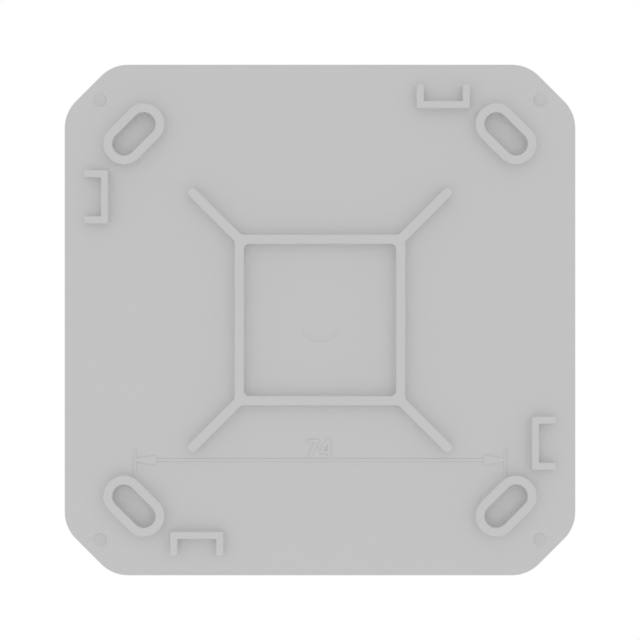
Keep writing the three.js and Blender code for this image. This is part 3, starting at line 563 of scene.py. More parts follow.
def add(piece, body, slot, material, *replaced):
    """Puts a new piece on its body, with its finish and the CAD nodes that it stands for."""
    paint(piece, material)
    if replaced:
        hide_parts(*replaced)
    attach(piece, body)


# ==== Camera, light and floor ====

CAMERA_DISTANCE = 333.0
VIEW_WIDTH = 127.9
SENSOR = 36.0
FLOOR_LEVEL = -110.0
FLOOR_RADIUS = 230.0
FLOOR_GLOW = 0.08
SKY = 0.76


def make_camera():
    """Looks square at the plate's back, from where its width fills the picture."""
    data = bpy.data.cameras.new("camera")
    data.sensor_width = SENSOR
    data.lens = SENSOR * (CAMERA_DISTANCE + PLATE_BACK) / VIEW_WIDTH
    data.clip_start = 0.01
    data.clip_end = 10.0
    camera = bpy.data.objects.new("camera", data)
    camera.location = (0, -CAMERA_DISTANCE * MM, 0)
    camera.rotation_euler = (math.pi / 2, 0, 0)
    bpy.context.scene.collection.objects.link(camera)
    bpy.context.scene.camera = camera


def make_sky():
    """An even white studio: full white behind the object, a softer white lighting it."""
    scene = bpy.context.scene
    scene.view_settings.view_transform = "Standard"
    scene.world = bpy.data.worlds.new("studio")
    scene.world.use_nodes = True
    tree = scene.world.node_tree
    background = tree.nodes["Background"]
    rays = tree.nodes.new("ShaderNodeLightPath")
    level = tree.nodes.new("ShaderNodeMapRange")
    set_sockets(level, To_Min=SKY, To_Max=1.0)
    set_sockets(background, Color=(1, 1, 1, 1))
    tree.links.new(rays.outputs["Is Camera Ray"], level.inputs["Value"])
    tree.links.new(level.outputs["Result"], background.inputs["Strength"])


def make_light(name, place, size, power):
    """A soft panel aimed at the middle of the object."""
    data = bpy.data.lights.new(name, "AREA")
    data.shape = "DISK"
    data.size = size * MM
    data.energy = power
    light = bpy.data.objects.new(name, data)
    light.location = Vector(place) * MM
    light.rotation_euler = (-Vector(place)).to_track_quat("-Z", "Y").to_euler()
    bpy.context.scene.collection.objects.link(light)


def make_floor():
    """A pale round floor below the object that fades into the white of the studio."""
    floor = Skin(FLOOR_PLANE)
    floor.fan(floor.ring(circle(FLOOR_RADIUS, steps=96), FLOOR_LEVEL))
    piece = floor.piece("floor")
    made = Shader("floor_paper", (0.86, 0.86, 0.86), 0.9)
    made.vary_color(made.noise(60.0), 0.99, 1.01)
    made.bump(made.noise(0.6, 3.0), 0.02)
    set_sockets(made.surface, Emission_Color=(1, 1, 1, 1), Emission_Strength=FLOOR_GLOW)
    distance = made.node("ShaderNodeVectorMath", operation="LENGTH")
    flat = made.node("ShaderNodeVectorMath", operation="MULTIPLY")
    flat.inputs[1].default_value = (1, 1, 0)
    made.link(made.scaled.outputs["Vector"], flat.inputs[0])
    made.link(flat.outputs["Vector"], distance.inputs[0])
    fade = made.ramp(distance.outputs["Value"], FLOOR_RADIUS * 0.3, FLOOR_RADIUS * 0.95, 1.0, 0.0)
    made.link(fade, made.surface.inputs["Alpha"])
    piece.data.materials.append(made.material)


# ==== Mounting base ====

def rib_profile(foot=PLATE_BACK, top=RIB_TOP):
    """Growth and level of each ring of a rib: foot fillet, drafted wall, rounded top edge."""
    low, high = (FOOT_FILLET, TOP_EDGE) if top > foot else (-FOOT_FILLET, -TOP_EDGE)
    profile = [(FOOT_FILLET * (1 - s), foot + low * (1 - c)) for s, c in quarter()]
    profile += [(-RIB_DRAFT - TOP_EDGE * (1 - c), top - high * (1 - s)) for s, c in quarter()]
    return profile


def rib_network(grow):
    """Outer outline of the square frame together with its four diagonal ribs."""
    shift = DIAGONAL_HALF * math.sqrt(2)
    side = DIAGONAL_HALF / math.sqrt(2)
    quadrant = [
        (FRAME_OUTER, FRAME_OUTER - shift),
        (DIAGONAL_TIP + side, DIAGONAL_TIP - side),
        (DIAGONAL_TIP - side, DIAGONAL_TIP + side),
        (FRAME_OUTER - shift, FRAME_OUTER),
    ]
    corners = [p for turn in range(0, 360, 90) for p in turned(quadrant, turn)]
    radii = [FRAME_FILLET, DIAGONAL_HALF * 0.98, DIAGONAL_HALF * 0.98, FRAME_FILLET] * 4
    return rounded(corners, radii, grow, 6)


def frame_hole(grow):
    """Inner outline of the square frame."""
    h = FRAME_INNER
    return rounded([(h, -h), (h, h), (-h, h), (-h, -h)], FRAME_FILLET, grow, 6)


def edge_rib(grow, turn):
    """A U that opens towards the plate's edge."""
    outer, inner = EDGE_RIB_HALF, EDGE_RIB_HALF - EDGE_RIB_WALL
    bar = EDGE_RIB_INNER + EDGE_RIB_WALL
    corners = [
        (-outer, EDGE_RIB_INNER), (outer, EDGE_RIB_INNER), (outer, EDGE_RIB_OUTER),
        (inner, EDGE_RIB_OUTER), (inner, bar), (-inner, bar),
        (-inner, EDGE_RIB_OUTER), (-outer, EDGE_RIB_OUTER),
    ]
    radii = [0.3, 0.3, 0.4, 0.4, 0.15, 0.15, 0.4, 0.4]
    points = rounded(corners, radii, grow)
    return turned([(u + EDGE_RIB_OFFSET, v) for u, v in points], turn)


def slot_places():
    """Middle and turn of each screw slot."""
    return [((x, z), 135 if x * z > 0 else 45) for x, z in four_places(SLOT_PLACE)]


def slot_outline(grow, place, turn, wall=0.0):
    return turned(pill(SLOT_LENGTH + 2 * wall, SLOT_WIDTH + 2 * wall, grow), turn, place)


def add_slot(skin, place, turn):
    """Rim, hollow and floor of one screw slot. Returns the rim's foot."""
    profile = rib_profile()
    outer = skin.stack(lambda g: slot_outline(g, place, turn, SLOT_WALL), profile)
    hollow = [(-grow, level) for grow, level in profile[:CURVE_STEPS:-1]]
    hollow += [(-FOOT_FILLET * (1 - c), SLOT_FLOOR - FOOT_FILLET * (1 - s)) for s, c in quarter()]
    inner = skin.stack(lambda g: slot_outline(g, place, turn), hollow)
    skin.strip(outer[-1], inner[0])
    skin.fan(inner[-1])
    return outer[0]


def add_pin_mark(skin, centre):
    """A round mark whose flat floor is sunk furthest towards the middle. Returns its edge."""
    heading = -Vector(centre).normalized()

    def floor(u, v):
        along = (Vector((u, v)) - Vector(centre)).dot(heading) / PIN_RADIUS
        return PLATE_BACK + PIN_DEPTH * (1 - PIN_TILT + PIN_TILT * along)

    edge = skin.ring(circle(PIN_RADIUS, centre), PLATE_BACK)
    foot = skin.ring(circle(PIN_RADIUS - PIN_WALL, centre), floor)
    skin.strip(edge, foot)
    skin.fan(foot)
    return edge


def add_dimple(skin):
    """The lower part of a disc that sinks away from the plate. Returns its edge."""
    start, end = math.radians(180 + DIMPLE_START), math.radians(360 - DIMPLE_START)
    angles = [start + (end - start) * k / DIMPLE_STEPS for k in range(DIMPLE_STEPS + 1)]
    top = DIMPLE_RADIUS * math.sin(start)

    def outline(radius):
        return [(radius * math.cos(a), min(radius * math.sin(a), top)) for a in angles]

    def floor(_, v):
        return PLATE_BACK + DIMPLE_STEP + DIMPLE_DEPTH * (top - v) / (top + DIMPLE_RADIUS)

    edge = skin.ring(outline(DIMPLE_RADIUS), PLATE_BACK)
    foot = skin.ring(outline(DIMPLE_RADIUS - DIMPLE_WALL), floor)
    skin.strip(edge, foot)
    skin.fan(foot)
    return edge


def lip_outline(grow, right, turn):
    """Lip that runs from beside an arm round the corner to a place on the right side."""
    upper = EDGE_RIB_OFFSET + LIP_ARM_HALF
    outer, inner = LIP_INSET, LIP_INSET + LIP_WALL
    out_side, out_flat = octagon(outer)[1]
    in_side, in_flat = octagon(inner)[1]
    corners = [
        (out_side, right), (out_side, out_flat), (out_flat, out_side), (upper, out_side),
        (upper, in_side), (in_flat, in_side), (in_side, in_flat), (in_side, right),
    ]
    bend, tight = CORNER_RADIUS - outer, CORNER_RADIUS - inner
    radii = [0.3, bend, bend, 0.3, 0.3, tight, tight, 0.3]
    return turned(rounded(corners, radii, grow, 5), turn)


def add_arm(skin, turn):
    """One snap arm with its barb. Returns its foot."""
    outer = HALF - LIP_INSET
    inner = outer - ARM_WALL
    tip = outer + BARB_REACH
    sides = [
        (outer, PLATE_FRONT, 0.0), (outer, BARB_LOW, 0.0),
        (tip, BARB_LOW + BARB_REACH / 3, 0.0), (tip, BARB_HIGH - BARB_REACH, 0.0),
        (outer, BARB_HIGH, 0.0), (outer, ARM_TOP - 0.2, 0.0), (outer, ARM_TOP, -0.2),
    ]
    rings = []
    for side, level, grow in sides:
        corners = [(ARM_HALF, inner), (ARM_HALF, side), (-ARM_HALF, side), (-ARM_HALF, inner)]
        points = [(u + EDGE_RIB_OFFSET, v) for u, v in rounded(corners, 0.3, grow)]
        rings.append(skin.ring(turned(points, turn), level))
    skin.join(rings)
    skin.fan(rings[-1])
    return rings[0]


def make_base():
    """The whole plate as one closed surface."""
    skin = Skin()
    profile = rib_profile()

    network = skin.stack(rib_network, profile)
    hole = skin.stack(frame_hole, [(-grow, level) for grow, level in profile])
    skin.fill(network[-1], hole[-1])
    skin.fill(hole[0], add_dimple(skin))

    back_holes = [network[0]]
    front_holes = []
    for turn in range(0, 360, 90):
        rib = skin.stack(lambda g: edge_rib(g, turn), profile)
        skin.fill(rib[-1])
        back_holes.append(rib[0])
        front_holes.append(add_arm(skin, turn))
    for place, turn in slot_places():
        back_holes.append(add_slot(skin, place, turn))
        relief = [(0.0, PLATE_FRONT), (-0.06, SLOT_RELIEF)]
        rings = skin.stack(lambda g: slot_outline(g, place, turn), relief)
        skin.fan(rings[-1])
        front_holes.append(rings[0])
    for place in four_places(PIN_PLACE):
        back_holes.append(add_pin_mark(skin, place))

    lip_profile = rib_profile(PLATE_FRONT, LIP_TOP)
    end = LIP_ARM_HALF - EDGE_RIB_OFFSET
    for turn, right in ((0, end), (90, end), (180, end), (270, LIP_JACK_HALF)):
        lip = skin.stack(lambda g: lip_outline(g, right, turn), lip_profile)
        skin.fill(lip[-1])
        front_holes.append(lip[0])
    near, far = LIP_INSET - HALF, LIP_INSET + LIP_WALL - HALF
    short = [(-LIP_JACK_HALF, near), (-LIP_JACK_HALF, far), (end, far), (end, near)]
    bar = skin.stack(lambda g: rounded(short, 0.3, g), lip_profile)
    skin.fill(bar[-1])
    front_holes.append(bar[0])

    edge = [(PLATE_EDGE * (1 - s), PLATE_BACK + PLATE_EDGE * (1 - c)) for s, c in quarter()]
    edge += [(PLATE_EDGE * (1 - c), PLATE_FRONT - PLATE_EDGE * (1 - s)) for s, c in quarter()]
    side = skin.stack(lambda inset: unit_outline(inset - PLATE_SWELL), edge)
    skin.fill(side[0], *back_holes)
    skin.fill(side[-1], *front_holes)
    return skin.piece("mounting_base_moulding")


MARK_LINE = -28.0
MARK_WIDTH = 0.5
WITNESS_WIDTH = 0.44
WITNESS_HIGH = -25.78
WITNESS_LOW = -31.25
ARROW_BASE = 4.3
ARROW_NOSE = 0.3
ARROW_HALF = 0.93
DIGIT_STROKE = 0.62
DIGIT_STROKES = (  # start and end of each stroke, in X and Z
    ((-2.34, -24.15), (-0.52, -24.15)),
    ((-0.47, -24.19), (-1.99, -27.01)),
    ((1.55, -24.10), (0.27, -26.27)),
    ((0.25, -26.36), (1.76, -26.36)),
    ((1.79, -24.06), (1.81, -26.95)),
)


def stroke_outline(start, end, width, grow):
    """A straight stroke with softly rounded ends."""
    along = Vector(end) - Vector(start)
    middle = (Vector(start) + Vector(end)) / 2
    half, side = (along.length + width) / 2, width / 2
    corners = [(half, -side), (half, side), (-half, side), (-half, -side)]
    points = rounded(corners, width * 0.4, grow, 3)
    return turned(points, math.degrees(math.atan2(along.y, along.x)), middle)


def arrow_outline(side, grow):
    """An arrow head with a blunt nose on the witness line."""
    end, base = SLOT_PLACE, SLOT_PLACE - ARROW_BASE
    middle, belly = (end + base) / 2, ARROW_NOSE * 0.5 + ARROW_HALF * 0.58
    corners = [
        (end, ARROW_NOSE), (middle, belly), (base, ARROW_HALF),
        (base, -ARROW_HALF), (middle, -belly), (end, -ARROW_NOSE),
    ]
    points = rounded(corners, [0.05, 1.5, 0.25, 0.25, 1.5, 0.05], grow, 3)
    return turned(points, 0 if side > 0 else 180, (0, MARK_LINE))


def make_mark():
    """The raised dimension line, its arrow heads and witness lines, and the two digits."""
    strokes = [(start, stop, DIGIT_STROKE) for start, stop in DIGIT_STROKES]
    for side in (-SLOT_PLACE, SLOT_PLACE):
        strokes.append(((side, WITNESS_HIGH), (side, WITNESS_LOW), WITNESS_WIDTH))
    profile = [(0.0, PLATE_BACK + MARK_SINK), (0.0, MARK_TOP + MARK_BEVEL), (-MARK_BEVEL, MARK_TOP)]
    reach = SLOT_PLACE - ARROW_BASE / 2
    line = Skin()
    line.bar(lambda g: stroke_outline((-reach, MARK_LINE), (reach, MARK_LINE), MARK_WIDTH, g), profile)
    rest = Skin()
    for start, stop, width in strokes:
        rest.bar(lambda g: stroke_outline(start, stop, width, g), profile)
    for side in (-1, 1):
        rest.bar(lambda g: arrow_outline(side, g), profile)
    piece = line.solid("dimension_mark")
    combine(piece, rest.solid("strokes"), "UNION")
    soften(piece, 60.0)
    return piece


# ==== Front shell ====

EDGE_REACH = FACE - EDGE_START
EDGE_STEPS = 14
CROWN_STEPS = 14
CROWN_REACH = HALF - RIM_INSET - WALL_DRAFT - EDGE_REACH
CROWN_RISE = CROWN * 0.97
VENT_COUNT = 11
VENT_PITCH = 3.6
VENT_WIDTH = 1.5
VENT_LOW = 8.5
VENT_HIGH = 16.5
VENT_DEPTH = 3.6
CUT_OUTSIDE = 1.2  # how far a cutter stands out of the surface
NOTCH_BELOW = -2.0  # where a notch in the rim starts, past the rim
MOUTH_ROUND = 0.3
BOSS_PLACE = 39.0
BOSS_RADIUS = 3.1
BOSS_BORE = 1.4
BOSS_DEPTH = 6.0
BOARD_BACK = 18.0
BOARD_FRONT = 19.6
CLEARANCE = 0.3
GROOVE_DEPTH = 0.9
GROOVE_TOP = 12.4
GROOVE_HALF = ARM_HALF + 0.8
JACK_NOTCH_HALF = 8.4
JACK_NOTCH_TOP = BOARD_BACK + CLEARANCE
PRY_HALF = 5.0
PRY_HEIGHT = 1.4
PRY_DEPTH = 1.1
BUTTON_PLACE = 17.0
BUTTON_DEPTH = 15.6
BUTTON_LENGTH = 6.4
BUTTON_WIDTH = 2.8
BUTTON_DEEP = 4.0
LIGHT_PLACE = -37.0
LIGHT_LENGTH = 9.4
LIGHT_WIDTH = 1.9
LIGHT_GAP = 0.25
LIGHT_COLLAR_HIGH = 25.7


def wall_inset(depth):
    """Inset of the drafted wall's outer surface at a depth."""
    return RIM_INSET + WALL_DRAFT * (depth - RIM) / (EDGE_START - RIM)


def shell_outline(inset):
    """The shell's outline, with corners that stay round as it shrinks."""
    return rounded(octagon(inset), CORNER_RADIUS - 0.84 * inset, 0.0, 8)


def crown_outline(outline, scale):
    """The face's outline shrunk towards its middle, turning round as it goes."""
    mean = sum(math.hypot(u, v) for u, v in outline) / len(outline)
    points = []
    for u, v in outline:
        reach = math.hypot(u, v)
        size = scale * (mean + (reach - mean) * scale * scale) / reach
        points.append((u * size, v * size))
    return points


def shell_surface(skin, thickness, start):
    """Rings of one side of the shell: wall, rounded edge and crowned face."""
    edge = EDGE_REACH - thickness
    inset = RIM_INSET + WALL_DRAFT + thickness
    slope = math.atan(2 * CROWN / (HALF - inset - edge))
    profile = list(start)
    for k in range(EDGE_STEPS + 1):
        angle = (math.pi / 2 - slope) * k / EDGE_STEPS
        profile.append((inset + edge * (1 - math.cos(angle)), EDGE_START + edge * math.sin(angle)))
    rings = skin.stack(shell_outline, profile)
    rim = shell_outline(profile[-1][0])
    rise = profile[-1][1]
    last = rings[-1]
    for k in range(1, CROWN_STEPS):
        scale = 1 - k / CROWN_STEPS
        ring = skin.ring(crown_outline(rim, scale), rise + CROWN_RISE * (1 - scale * scale))
        skin.strip(last, ring)
        last = ring
    skin.fan(last)
    return rings[0]


def wall_place(turn, depth):
    """A drawing plane on a drafted side wall: u along the wall, v away from the plate, w outwards."""
    lean = WALL_DRAFT / (EDGE_START - RIM)
    spin = Matrix.Rotation(math.radians(turn), 4, "Y")
    origin = (HALF - wall_inset(depth), depth, 0)
    return spin @ placement((0, 0, 1), (-lean, 1, 0), (1, lean, 0), origin)


def cut_hole(cutter, place, outline, deep, mouth=MOUTH_ROUND):
    """Adds a cutter for a hole whose mouth is rounded, drawn on an outer surface."""
    bend = [(mouth * (1 - s), -mouth * (1 - c)) for s, c in quarter()]
    cutter.place = place
    cutter.bar(outline, [(mouth * 1.02, CUT_OUTSIDE), *bend, (0.0, -deep)])


def cut_plain(cutter, place, outline, low, high):
    """Adds a cutter with straight sides, between two levels."""
    cutter.place = place
    cutter.bar(outline, [(0.0, low), (0.0, high)])


def shell_cutter():
    """Everything that is cut out of the shell, as one solid."""
    cutter = Skin()
    length = VENT_HIGH - VENT_LOW
    reach = (VENT_COUNT - 1) / 2 * VENT_PITCH
    for turn in (0, 180):
        side = wall_place(turn, (VENT_LOW + VENT_HIGH) / 2)
        for k in range(VENT_COUNT):
            along = (k * VENT_PITCH - reach, 0)
            vent = lambda g: turned(pill(length, VENT_WIDTH, g), 90, along)
            cut_hole(cutter, side, vent, VENT_DEPTH)
    size = (BUTTON_LENGTH + 2 * CLEARANCE, BUTTON_WIDTH + 2 * CLEARANCE)
    button = lambda g: turned(pill(*size, g), 0, (BUTTON_PLACE, 0))
    cut_hole(cutter, wall_place(90, BUTTON_DEPTH), button, BUTTON_DEEP, 0.2)
    notch = box_outline(-JACK_NOTCH_HALF, JACK_NOTCH_HALF, NOTCH_BELOW, JACK_NOTCH_TOP - RIM)
    cut_plain(cutter, wall_place(90, RIM), notch, CUT_OUTSIDE, -WALL_REACH)
    pry = box_outline(-PRY_HALF, PRY_HALF, NOTCH_BELOW, PRY_HEIGHT)
    cut_plain(cutter, wall_place(-90, RIM), pry, CUT_OUTSIDE, -PRY_DEPTH)
    outer = HALF - RIM_INSET - WALL + GROOVE_DEPTH
    left, right = EDGE_RIB_OFFSET - GROOVE_HALF, EDGE_RIB_OFFSET + GROOVE_HALF
    groove = box_outline(left, right, HALF - WALL_REACH, outer, 0.2)
    for turn in range(0, 360, 90):
        cut_plain(cutter, PLATE_PLANE, lambda g: turned(groove(g), turn), RIM - 1, GROOVE_TOP)
    for place in four_places(BOSS_PLACE):
        bore = lambda g: circle(BOSS_BORE, place, 32)
        cut_plain(cutter, PLATE_PLANE, bore, BOARD_FRONT, BOARD_FRONT + BOSS_DEPTH)
    slope = 2 * CROWN * LIGHT_PLACE / CROWN_REACH ** 2
    level = FACE + CROWN_RISE * (1 - (LIGHT_PLACE / CROWN_REACH) ** 2)
    face = placement((1, 0, 0), (0, -slope, 1), (0, 1, slope), (0, level, LIGHT_PLACE))
    window = (LIGHT_LENGTH + 2 * LIGHT_GAP, LIGHT_WIDTH + 2 * LIGHT_GAP)
    cut_hole(cutter, face, lambda g: pill(*window, g), level - LIGHT_COLLAR_HIGH, 0.15)
    return cutter.solid("shell_cutter")


def make_shell():
    """Front cover: outer and inner surface, bosses joined on, openings cut out."""
    skin = Skin()
    rim = [(RIM_INSET + RIM_EDGE * (1 - s), RIM + RIM_EDGE * (1 - c)) for s, c in quarter()]
    outer = shell_surface(skin, 0.0, rim)
    inner = shell_surface(skin, WALL, [(RIM_INSET + WALL, RIM)])
    skin.strip(outer, inner)
    shell = skin.solid("front_shell_moulding")
    bosses = Skin()
    foot = BOARD_FRONT + CLEARANCE
    profile = [(-0.2, foot), (0, foot + 0.2), (0, FACE - 1.2)]
    for place in four_places(BOSS_PLACE):
        bosses.bar(lambda g: circle(BOSS_RADIUS + g, place), profile)
    combine(shell, bosses.solid("bosses"), "UNION")
    combine(shell, shell_cutter(), "DIFFERENCE")
    soften(shell)
    return shell


SCREEN_HALF_LENGTH = 18.9
SCREEN_HALF_WIDTH = 4.7
SCREEN_THICKNESS = 0.3
SCREEN_GAP = 0.03


def make_screens():
    """Stiff strips of fine plastic mesh, fixed behind the two rows of vents to keep dust out."""
    skin = Skin()
    shape = box_at(SCREEN_HALF_LENGTH, SCREEN_HALF_WIDTH, 0.3, (0, 0))
    near, far = -WALL - SCREEN_GAP, -WALL - SCREEN_GAP - SCREEN_THICKNESS
    for turn in (0, 180):
        skin.place = wall_place(turn, (VENT_LOW + VENT_HIGH) / 2)
        skin.bar(shape, [(0.0, near), (0.0, far + 0.1), (-0.1, far)])
    return skin.piece("dust_screens")


# ==== Board and what sits on it ====

SEAT = BOARD_BACK - 0.1  # where the back's parts stand, a film of solder off the board
SCREW_NAMES = nodes_named("board_screw")
CAPACITOR_NAMES = nodes_named("bulk_capacitor")
ANTENNA_NAMES = nodes_named("antenna")


def middle_of(name):
    """Middle of a CAD node across the plate, and its depths."""
    low, high = node_box(name)
    return (low.x + high.x) / 2, (low.z + high.z) / 2, low.y, high.y


def lathe(centre, profile):
    """A turned solid; the profile is radius and depth, from one end to the other."""
    skin = Skin()
    skin.bar(lambda radius: circle(radius, centre), profile)
    return skin


def cut_cross(piece, slot, turns, taper):
    """Cuts two crossing slots into the end of a turned part, and finishes it."""
    cross = Skin()
    for turn in turns:
        cross.bar(box_at(*slot, turn), taper)
    combine(piece, cross.solid("cross"), "DIFFERENCE")
    soften(piece)
    return piece


def make_screw(name):
    """Pan-head screw with a cross recess and rolled threads."""
    x, z, low, high = middle_of(name)
    head, shank, seat = 2.4, 1.1, low + 1.7
    profile = [(0.4, low), (1.1, low + 0.05), (1.7, low + 0.25), (2.1, low + 0.6), (head, low + 1.1)]
    profile += [(head, seat - 0.1), (head - 0.1, seat), (shank, seat)]
    depth = seat + 0.4
    while depth < high - 1.2:
        profile += [(shank - 0.22, depth), (shank, depth + 0.2), (shank, depth + 0.25)]
        depth += 0.5
    profile += [(shank - 0.2, high - 0.8), (0.1, high)]
    screw = lathe((x, z), profile).solid(name + "_turned")
    taper = [(0.0, low - 0.5), (-0.05, low + 0.9)]
    return cut_cross(screw, (1.25, 0.3, 0.1, (x, z)), (45, 135), taper)


def make_capacitor(name):
    """Shrink-sleeved can: rolled groove near the board and a rounded shoulder."""
    x, z, low, high = middle_of(name)
    radius, shoulder = 4.0, 0.5
    top = [(radius - shoulder * (1 - s), low + shoulder * (1 - c)) for s, c in quarter(6)]
    groove = high - 1.6
    body = [(radius, groove - 0.5), (radius - 0.3, groove - 0.15), (radius - 0.3, groove + 0.15)]
    body += [(radius, groove + 0.5), (radius, high - 0.3), (radius - 0.3, high)]
    end = [(radius - 1.0, low + 0.12), (radius - 0.9, low + 0.02)]
    return lathe((x, z), [*end, *top, *body]).piece(name + "_sleeved", 40.0)


def make_capacitor_top(name):
    """Bare metal end of the can, scored so that it can vent."""
    x, z, low, _ = middle_of(name)
    profile = [(2.6, low + 0.04), (2.95, low + 0.1), (3.0, low + 0.3), (2.9, low + 0.5)]
    top = lathe((x, z), profile).solid(name + "_end")
    taper = [(0.0, low - 0.3), (-0.06, low + 0.16)]
    return cut_cross(top, (2.1, 0.12, 0.05, (x, z)), (0, 90), taper)


def make_choke_core():
    """Ferrite bobbin with a flange at each end."""
    x, z, low, high = middle_of("poe_choke")
    profile = [(4.1, low), (4.4, low + 0.2), (4.4, low + 0.8), (4.3, low + 0.9), (3.2, low + 0.9)]
    profile += [(3.2, high - 0.9), (4.3, high - 0.9), (4.4, high - 0.8), (4.4, high), (4.3, high)]
    return lathe((x, z), profile).piece("poe_choke_core", 30.0)


def make_choke_winding():
    """Turns of enamelled wire side by side round the choke's waist."""
    x, z, low, high = middle_of("poe_choke")
    wire, start, stop = 0.2, low + 0.95, high - 0.95
    turns = int((stop - start) / (2 * wire))
    profile = []
    for turn in range(turns):
        centre = start + wire * (2 * turn + 1)
        for k in range(6):
            angle = math.pi * (k + 0.5) / 6
            profile.append((3.55 + wire * math.sin(angle), centre - wire * math.cos(angle)))
    profile = [(3.25, start), *profile, (3.25, stop)]
    return lathe((x, z), profile).piece("poe_choke_winding", 50.0)


def make_shield_can():
    """Drawn can with rounded edges, rows of vent holes in its top, open towards the board."""
    x, z, low, high = middle_of("radio_shield_can")
    sheet, bend, hole_radius, hole_pitch = 0.25, 0.45, 0.55, 2.8
    shape = box_at(11.0, 8.5, 0.8, (x, z))
    skin = Skin()
    edge = [(-bend * (1 - s), low + bend * (1 - c)) for s, c in quarter()]
    outer = skin.stack(shape, [*edge, (0.0, high)])
    inside = [(-bend, low + sheet), (-sheet - 0.1, low + bend)]
    inside += [(-sheet, low + bend + 0.2), (-sheet, high)]
    inner = skin.stack(shape, inside)
    skin.strip(outer[-1], inner[-1])
    tops, bottoms = [], []
    for i in range(7):
        for j in range(5):
            place = (x + (i - 3) * hole_pitch, z + (j - 2) * hole_pitch)
            hole = circle(hole_radius, place, 16)
            tops.append(skin.ring(hole, low))
            bottoms.append(skin.ring(hole, low + sheet))
            skin.strip(tops[-1], bottoms[-1])
    skin.fill(outer[0], *tops)
    skin.fill(inner[0], *bottoms)
    return skin.piece("radio_shield_pressing")


def lead(skin, x, z, heading, reach, width, top):
    """One gull-wing lead, from a chip's side down to its pad; the heading is a quarter turn."""
    thick, foot, shift = 0.16, SEAT - 0.02, 0.08
    knee, ankle = reach * 0.35, reach * 0.55
    upper = [(0.0, top), (knee, top), (ankle, foot), (reach, foot)]
    lower = [(0.0, top - thick), (knee + shift, top - thick)]
    lower += [(ankle + shift, foot - thick), (reach, foot - thick)]
    points = upper + lower[::-1]
    spin = Matrix.Rotation(math.radians(-90 * heading), 4, "Y")
    skin.place = Matrix.Translation((x, 0, z)) @ spin
    skin.bar(lambda g: points, [(0.0, -width / 2), (0.0, width / 2)])


def make_leads():
    """Leads of the chips that have them."""
    skin = Skin()
    rows = (
        ("flash_chip", 4, 1.27, 0.42, 1.2, (0, 2)),
        ("lan_transformer", 12, 1.2, 0.5, 1.1, (1, 3)),
        ("bridge_rectifier_1", 2, 2.54, 0.9, 1.0, (0, 2)),
        ("bridge_rectifier_2", 2, 2.54, 0.9, 1.0, (0, 2)),
        ("memory_chip", 13, 0.8, 0.3, 0.9, (0, 2)),
    )
    for name, count, pitch, width, reach, headings in rows:
        low, high = node_box(name)
        x, z, near, far = middle_of(name)
        top = (near + far) / 2
        edges = (high.x, high.z, low.x, low.z)
        for heading in headings:
            for k in range(count):
                along = (k - (count - 1) / 2) * pitch
                place = (x + along, edges[heading]) if heading % 2 else (edges[heading], z + along)
                lead(skin, *place, heading, reach, width, top)
    return skin.piece("chip_leads")


def make_edge_pads():
    """Soldered pads that show along the sides of the leadless chips."""
    skin = Skin()
    length, width, bend, out = 0.3, 0.13, 0.08, 0.12
    for name, count, pitch in (("poe_controller_chip", 8, 0.65), ("ethernet_phy_chip", 14, 0.55)):
        low, high = node_box(name)
        x, z, _, far = middle_of(name)
        profile = [(0.0, far + 0.08), (0.0, far - 0.08), (-0.06, far - 0.16)]
        for k in range(count):
            along = (k - (count - 1) / 2) * pitch
            for side in (low.x - out, high.x + out):
                skin.bar(box_at(length, width, bend, (side, z + along)), profile)
            for side in (low.z - out, high.z + out):
                skin.bar(box_at(width, length, bend, (x + along, side)), profile)
    return skin.piece("chip_pads")


PASSIVE_COUNT = 110
PASSIVE_REACH = 41.0
PASSIVE_CORNER = 72.0  # the board's corners are cut, where x plus z is more than this
PASSIVE_GRID = 1.25
PASSIVE_MARGIN = 1.4
PASSIVE_GAP = 1.5


def passive_places():
    """Seeded free places for small parts on the back of the board, clear of everything else."""
    choose = random.Random(74)
    taken = []
    for name in NODES:
        low, high = node_box(name)
        around = name in ("mounting_base", "front_shell", "circuit_board", "light_pipe")
        if low.y < BOARD_BACK and not around:
            margin = PASSIVE_MARGIN
            taken.append((low.x - margin, low.z - margin, high.x + margin, high.z + margin))
    places = []
    while len(places) < PASSIVE_COUNT:
        draws = [choose.uniform(-PASSIVE_REACH, PASSIVE_REACH) for _ in "xz"]
        x, z = [round(draw / PASSIVE_GRID) * PASSIVE_GRID for draw in draws]
        clear = all(not (a < x < c and b < z < d) for a, b, c, d in taken)
        if clear and abs(x) + abs(z) < PASSIVE_CORNER:
            turn = choose.choice((0, 90))
            size = choose.choice((1.0, 1.0, 1.6))
            places.append((x, z, turn, size))
            reach = PASSIVE_GAP + size * 0.5
            taken.append((x - reach, z - reach, x + reach, z + reach))
    return places


def make_passives(places, ends):
    """Chip resistors and capacitors: their ceramic bodies, or their soldered ends."""
    skin = Skin()
    for x, z, turn, size in places:
        half, side, tall = size / 2, size / 4, size * 0.42
        if ends:
            spans = ((-half - 0.12, -half * 0.62), (half * 0.62, half + 0.12))
            grow, height = 0.03, tall + 0.03
        else:
            spans = ((-half * 0.66, half * 0.66),)
            grow, height = 0.0, tall
        for left, right in spans:
            outline = box_outline(left, right, -side - grow, side + grow, 0.06)
            profile = [(0.0, SEAT + 0.08), (0.0, SEAT - height + 0.05), (-0.05, SEAT - height)]
            skin.bar(lambda g: turned(outline(g), turn, (x, z)), profile)
    return skin.piece("passive_ends" if ends else "passive_bodies")


def bevel_node(name, material, width):
    """Dresses a CAD node: triangulation edges dissolved, corners rounded, finish applied."""
    node = NODES[name]
    paint(node, material)
    weld = node.modifiers.new("weld", "WELD")
    weld.merge_threshold = 1e-6
    flat = node.modifiers.new("flat", "DECIMATE")
    flat.decimate_type = "DISSOLVE"
    flat.angle_limit = math.radians(1.0)
    edge = node.modifiers.new("edge", "BEVEL")
    edge.limit_method = "ANGLE"
    edge.angle_limit = math.radians(40)
    edge.width = width * MM
    edge.segments = 2


# ==== Assembly of the scene ====

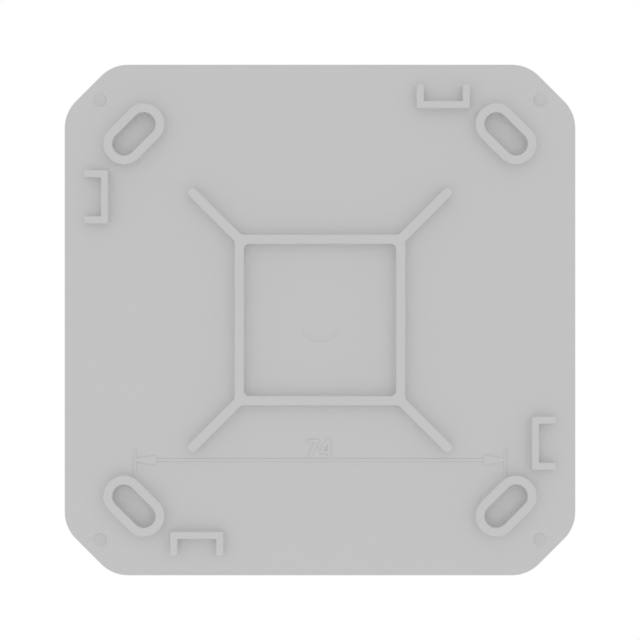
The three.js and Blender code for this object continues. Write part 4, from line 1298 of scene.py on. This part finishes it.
make_camera()
make_sky()
make_floor()
make_light("front_panel", (-260, 330, 380), 260, 0.42)
make_light("side_panel", (330, 240, 180), 260, 0.2)
add(make_base(), "base", "base_plastic", "base", "mounting_base")
add(make_mark(), "base", "base_plastic", "base")

add(make_shell(), "unit", "shell_plastic", "shell", "front_shell")
add(make_screens(), "unit", "jack_plastic", "screen")
for screw in SCREW_NAMES:
    add(make_screw(screw), "unit", "screw_steel", "screw", screw)
for can in CAPACITOR_NAMES:
    add(make_capacitor(can), "unit", "capacitor_sleeve", "sleeve", can)
    add(make_capacitor_top(can), "unit", "can_steel", "can")
add(make_choke_core(), "unit", "ferrite", "ferrite", "poe_choke")
add(make_choke_winding(), "unit", "contact_metal", "copper")
add(make_shield_can(), "unit", "can_steel", "can", "radio_shield_can")
add(make_leads(), "unit", "contact_metal", "tin")
add(make_edge_pads(), "unit", "contact_metal", "tin")
PLACES = passive_places()
add(make_passives(PLACES, False), "unit", "chip_plastic", "ceramic")
add(make_passives(PLACES, True), "unit", "contact_metal", "tin")

for names, material, width in (
    (["light_pipe"], "window", 0.2),
    (["reset_button_cap"], "button", 0.15),
    (["reset_switch_housing"], "black", 0.15),
    (["reset_switch_stem"], "stem", 0.12),
    (["circuit_board"], "board", 0.1),
    (["ethernet_jack_shield"], "steel", 0.12),
    (["ethernet_jack_core"], "black", 0.12),
    (["ethernet_jack_contacts"], "gold", 0.05),
    (["poe_transformer_core"], "ferrite", 0.3),
    (["poe_transformer_coil"], "tape", 0.3),
    (["lan_transformer"], "epoxy", 0.25),
    (nodes_named("bridge_rectifier"), "epoxy", 0.2),
    (["flash_chip"], "epoxy", 0.15),
    (["processor_chip", "memory_chip"], "epoxy", 0.1),
    (["poe_controller_chip", "ethernet_phy_chip", "radio_chip"], "epoxy", 0.08),
    (["crystal_can"], "can", 0.25),
    (["thermal_pad"], "pad", 0.1),
    (["heat_sink"], "aluminium", 0.15),
    (ANTENNA_NAMES, "antenna", 0.08),
    (["status_led"], "lamp", 0.15),
):
    for name in names:
        bevel_node(name, material, width)
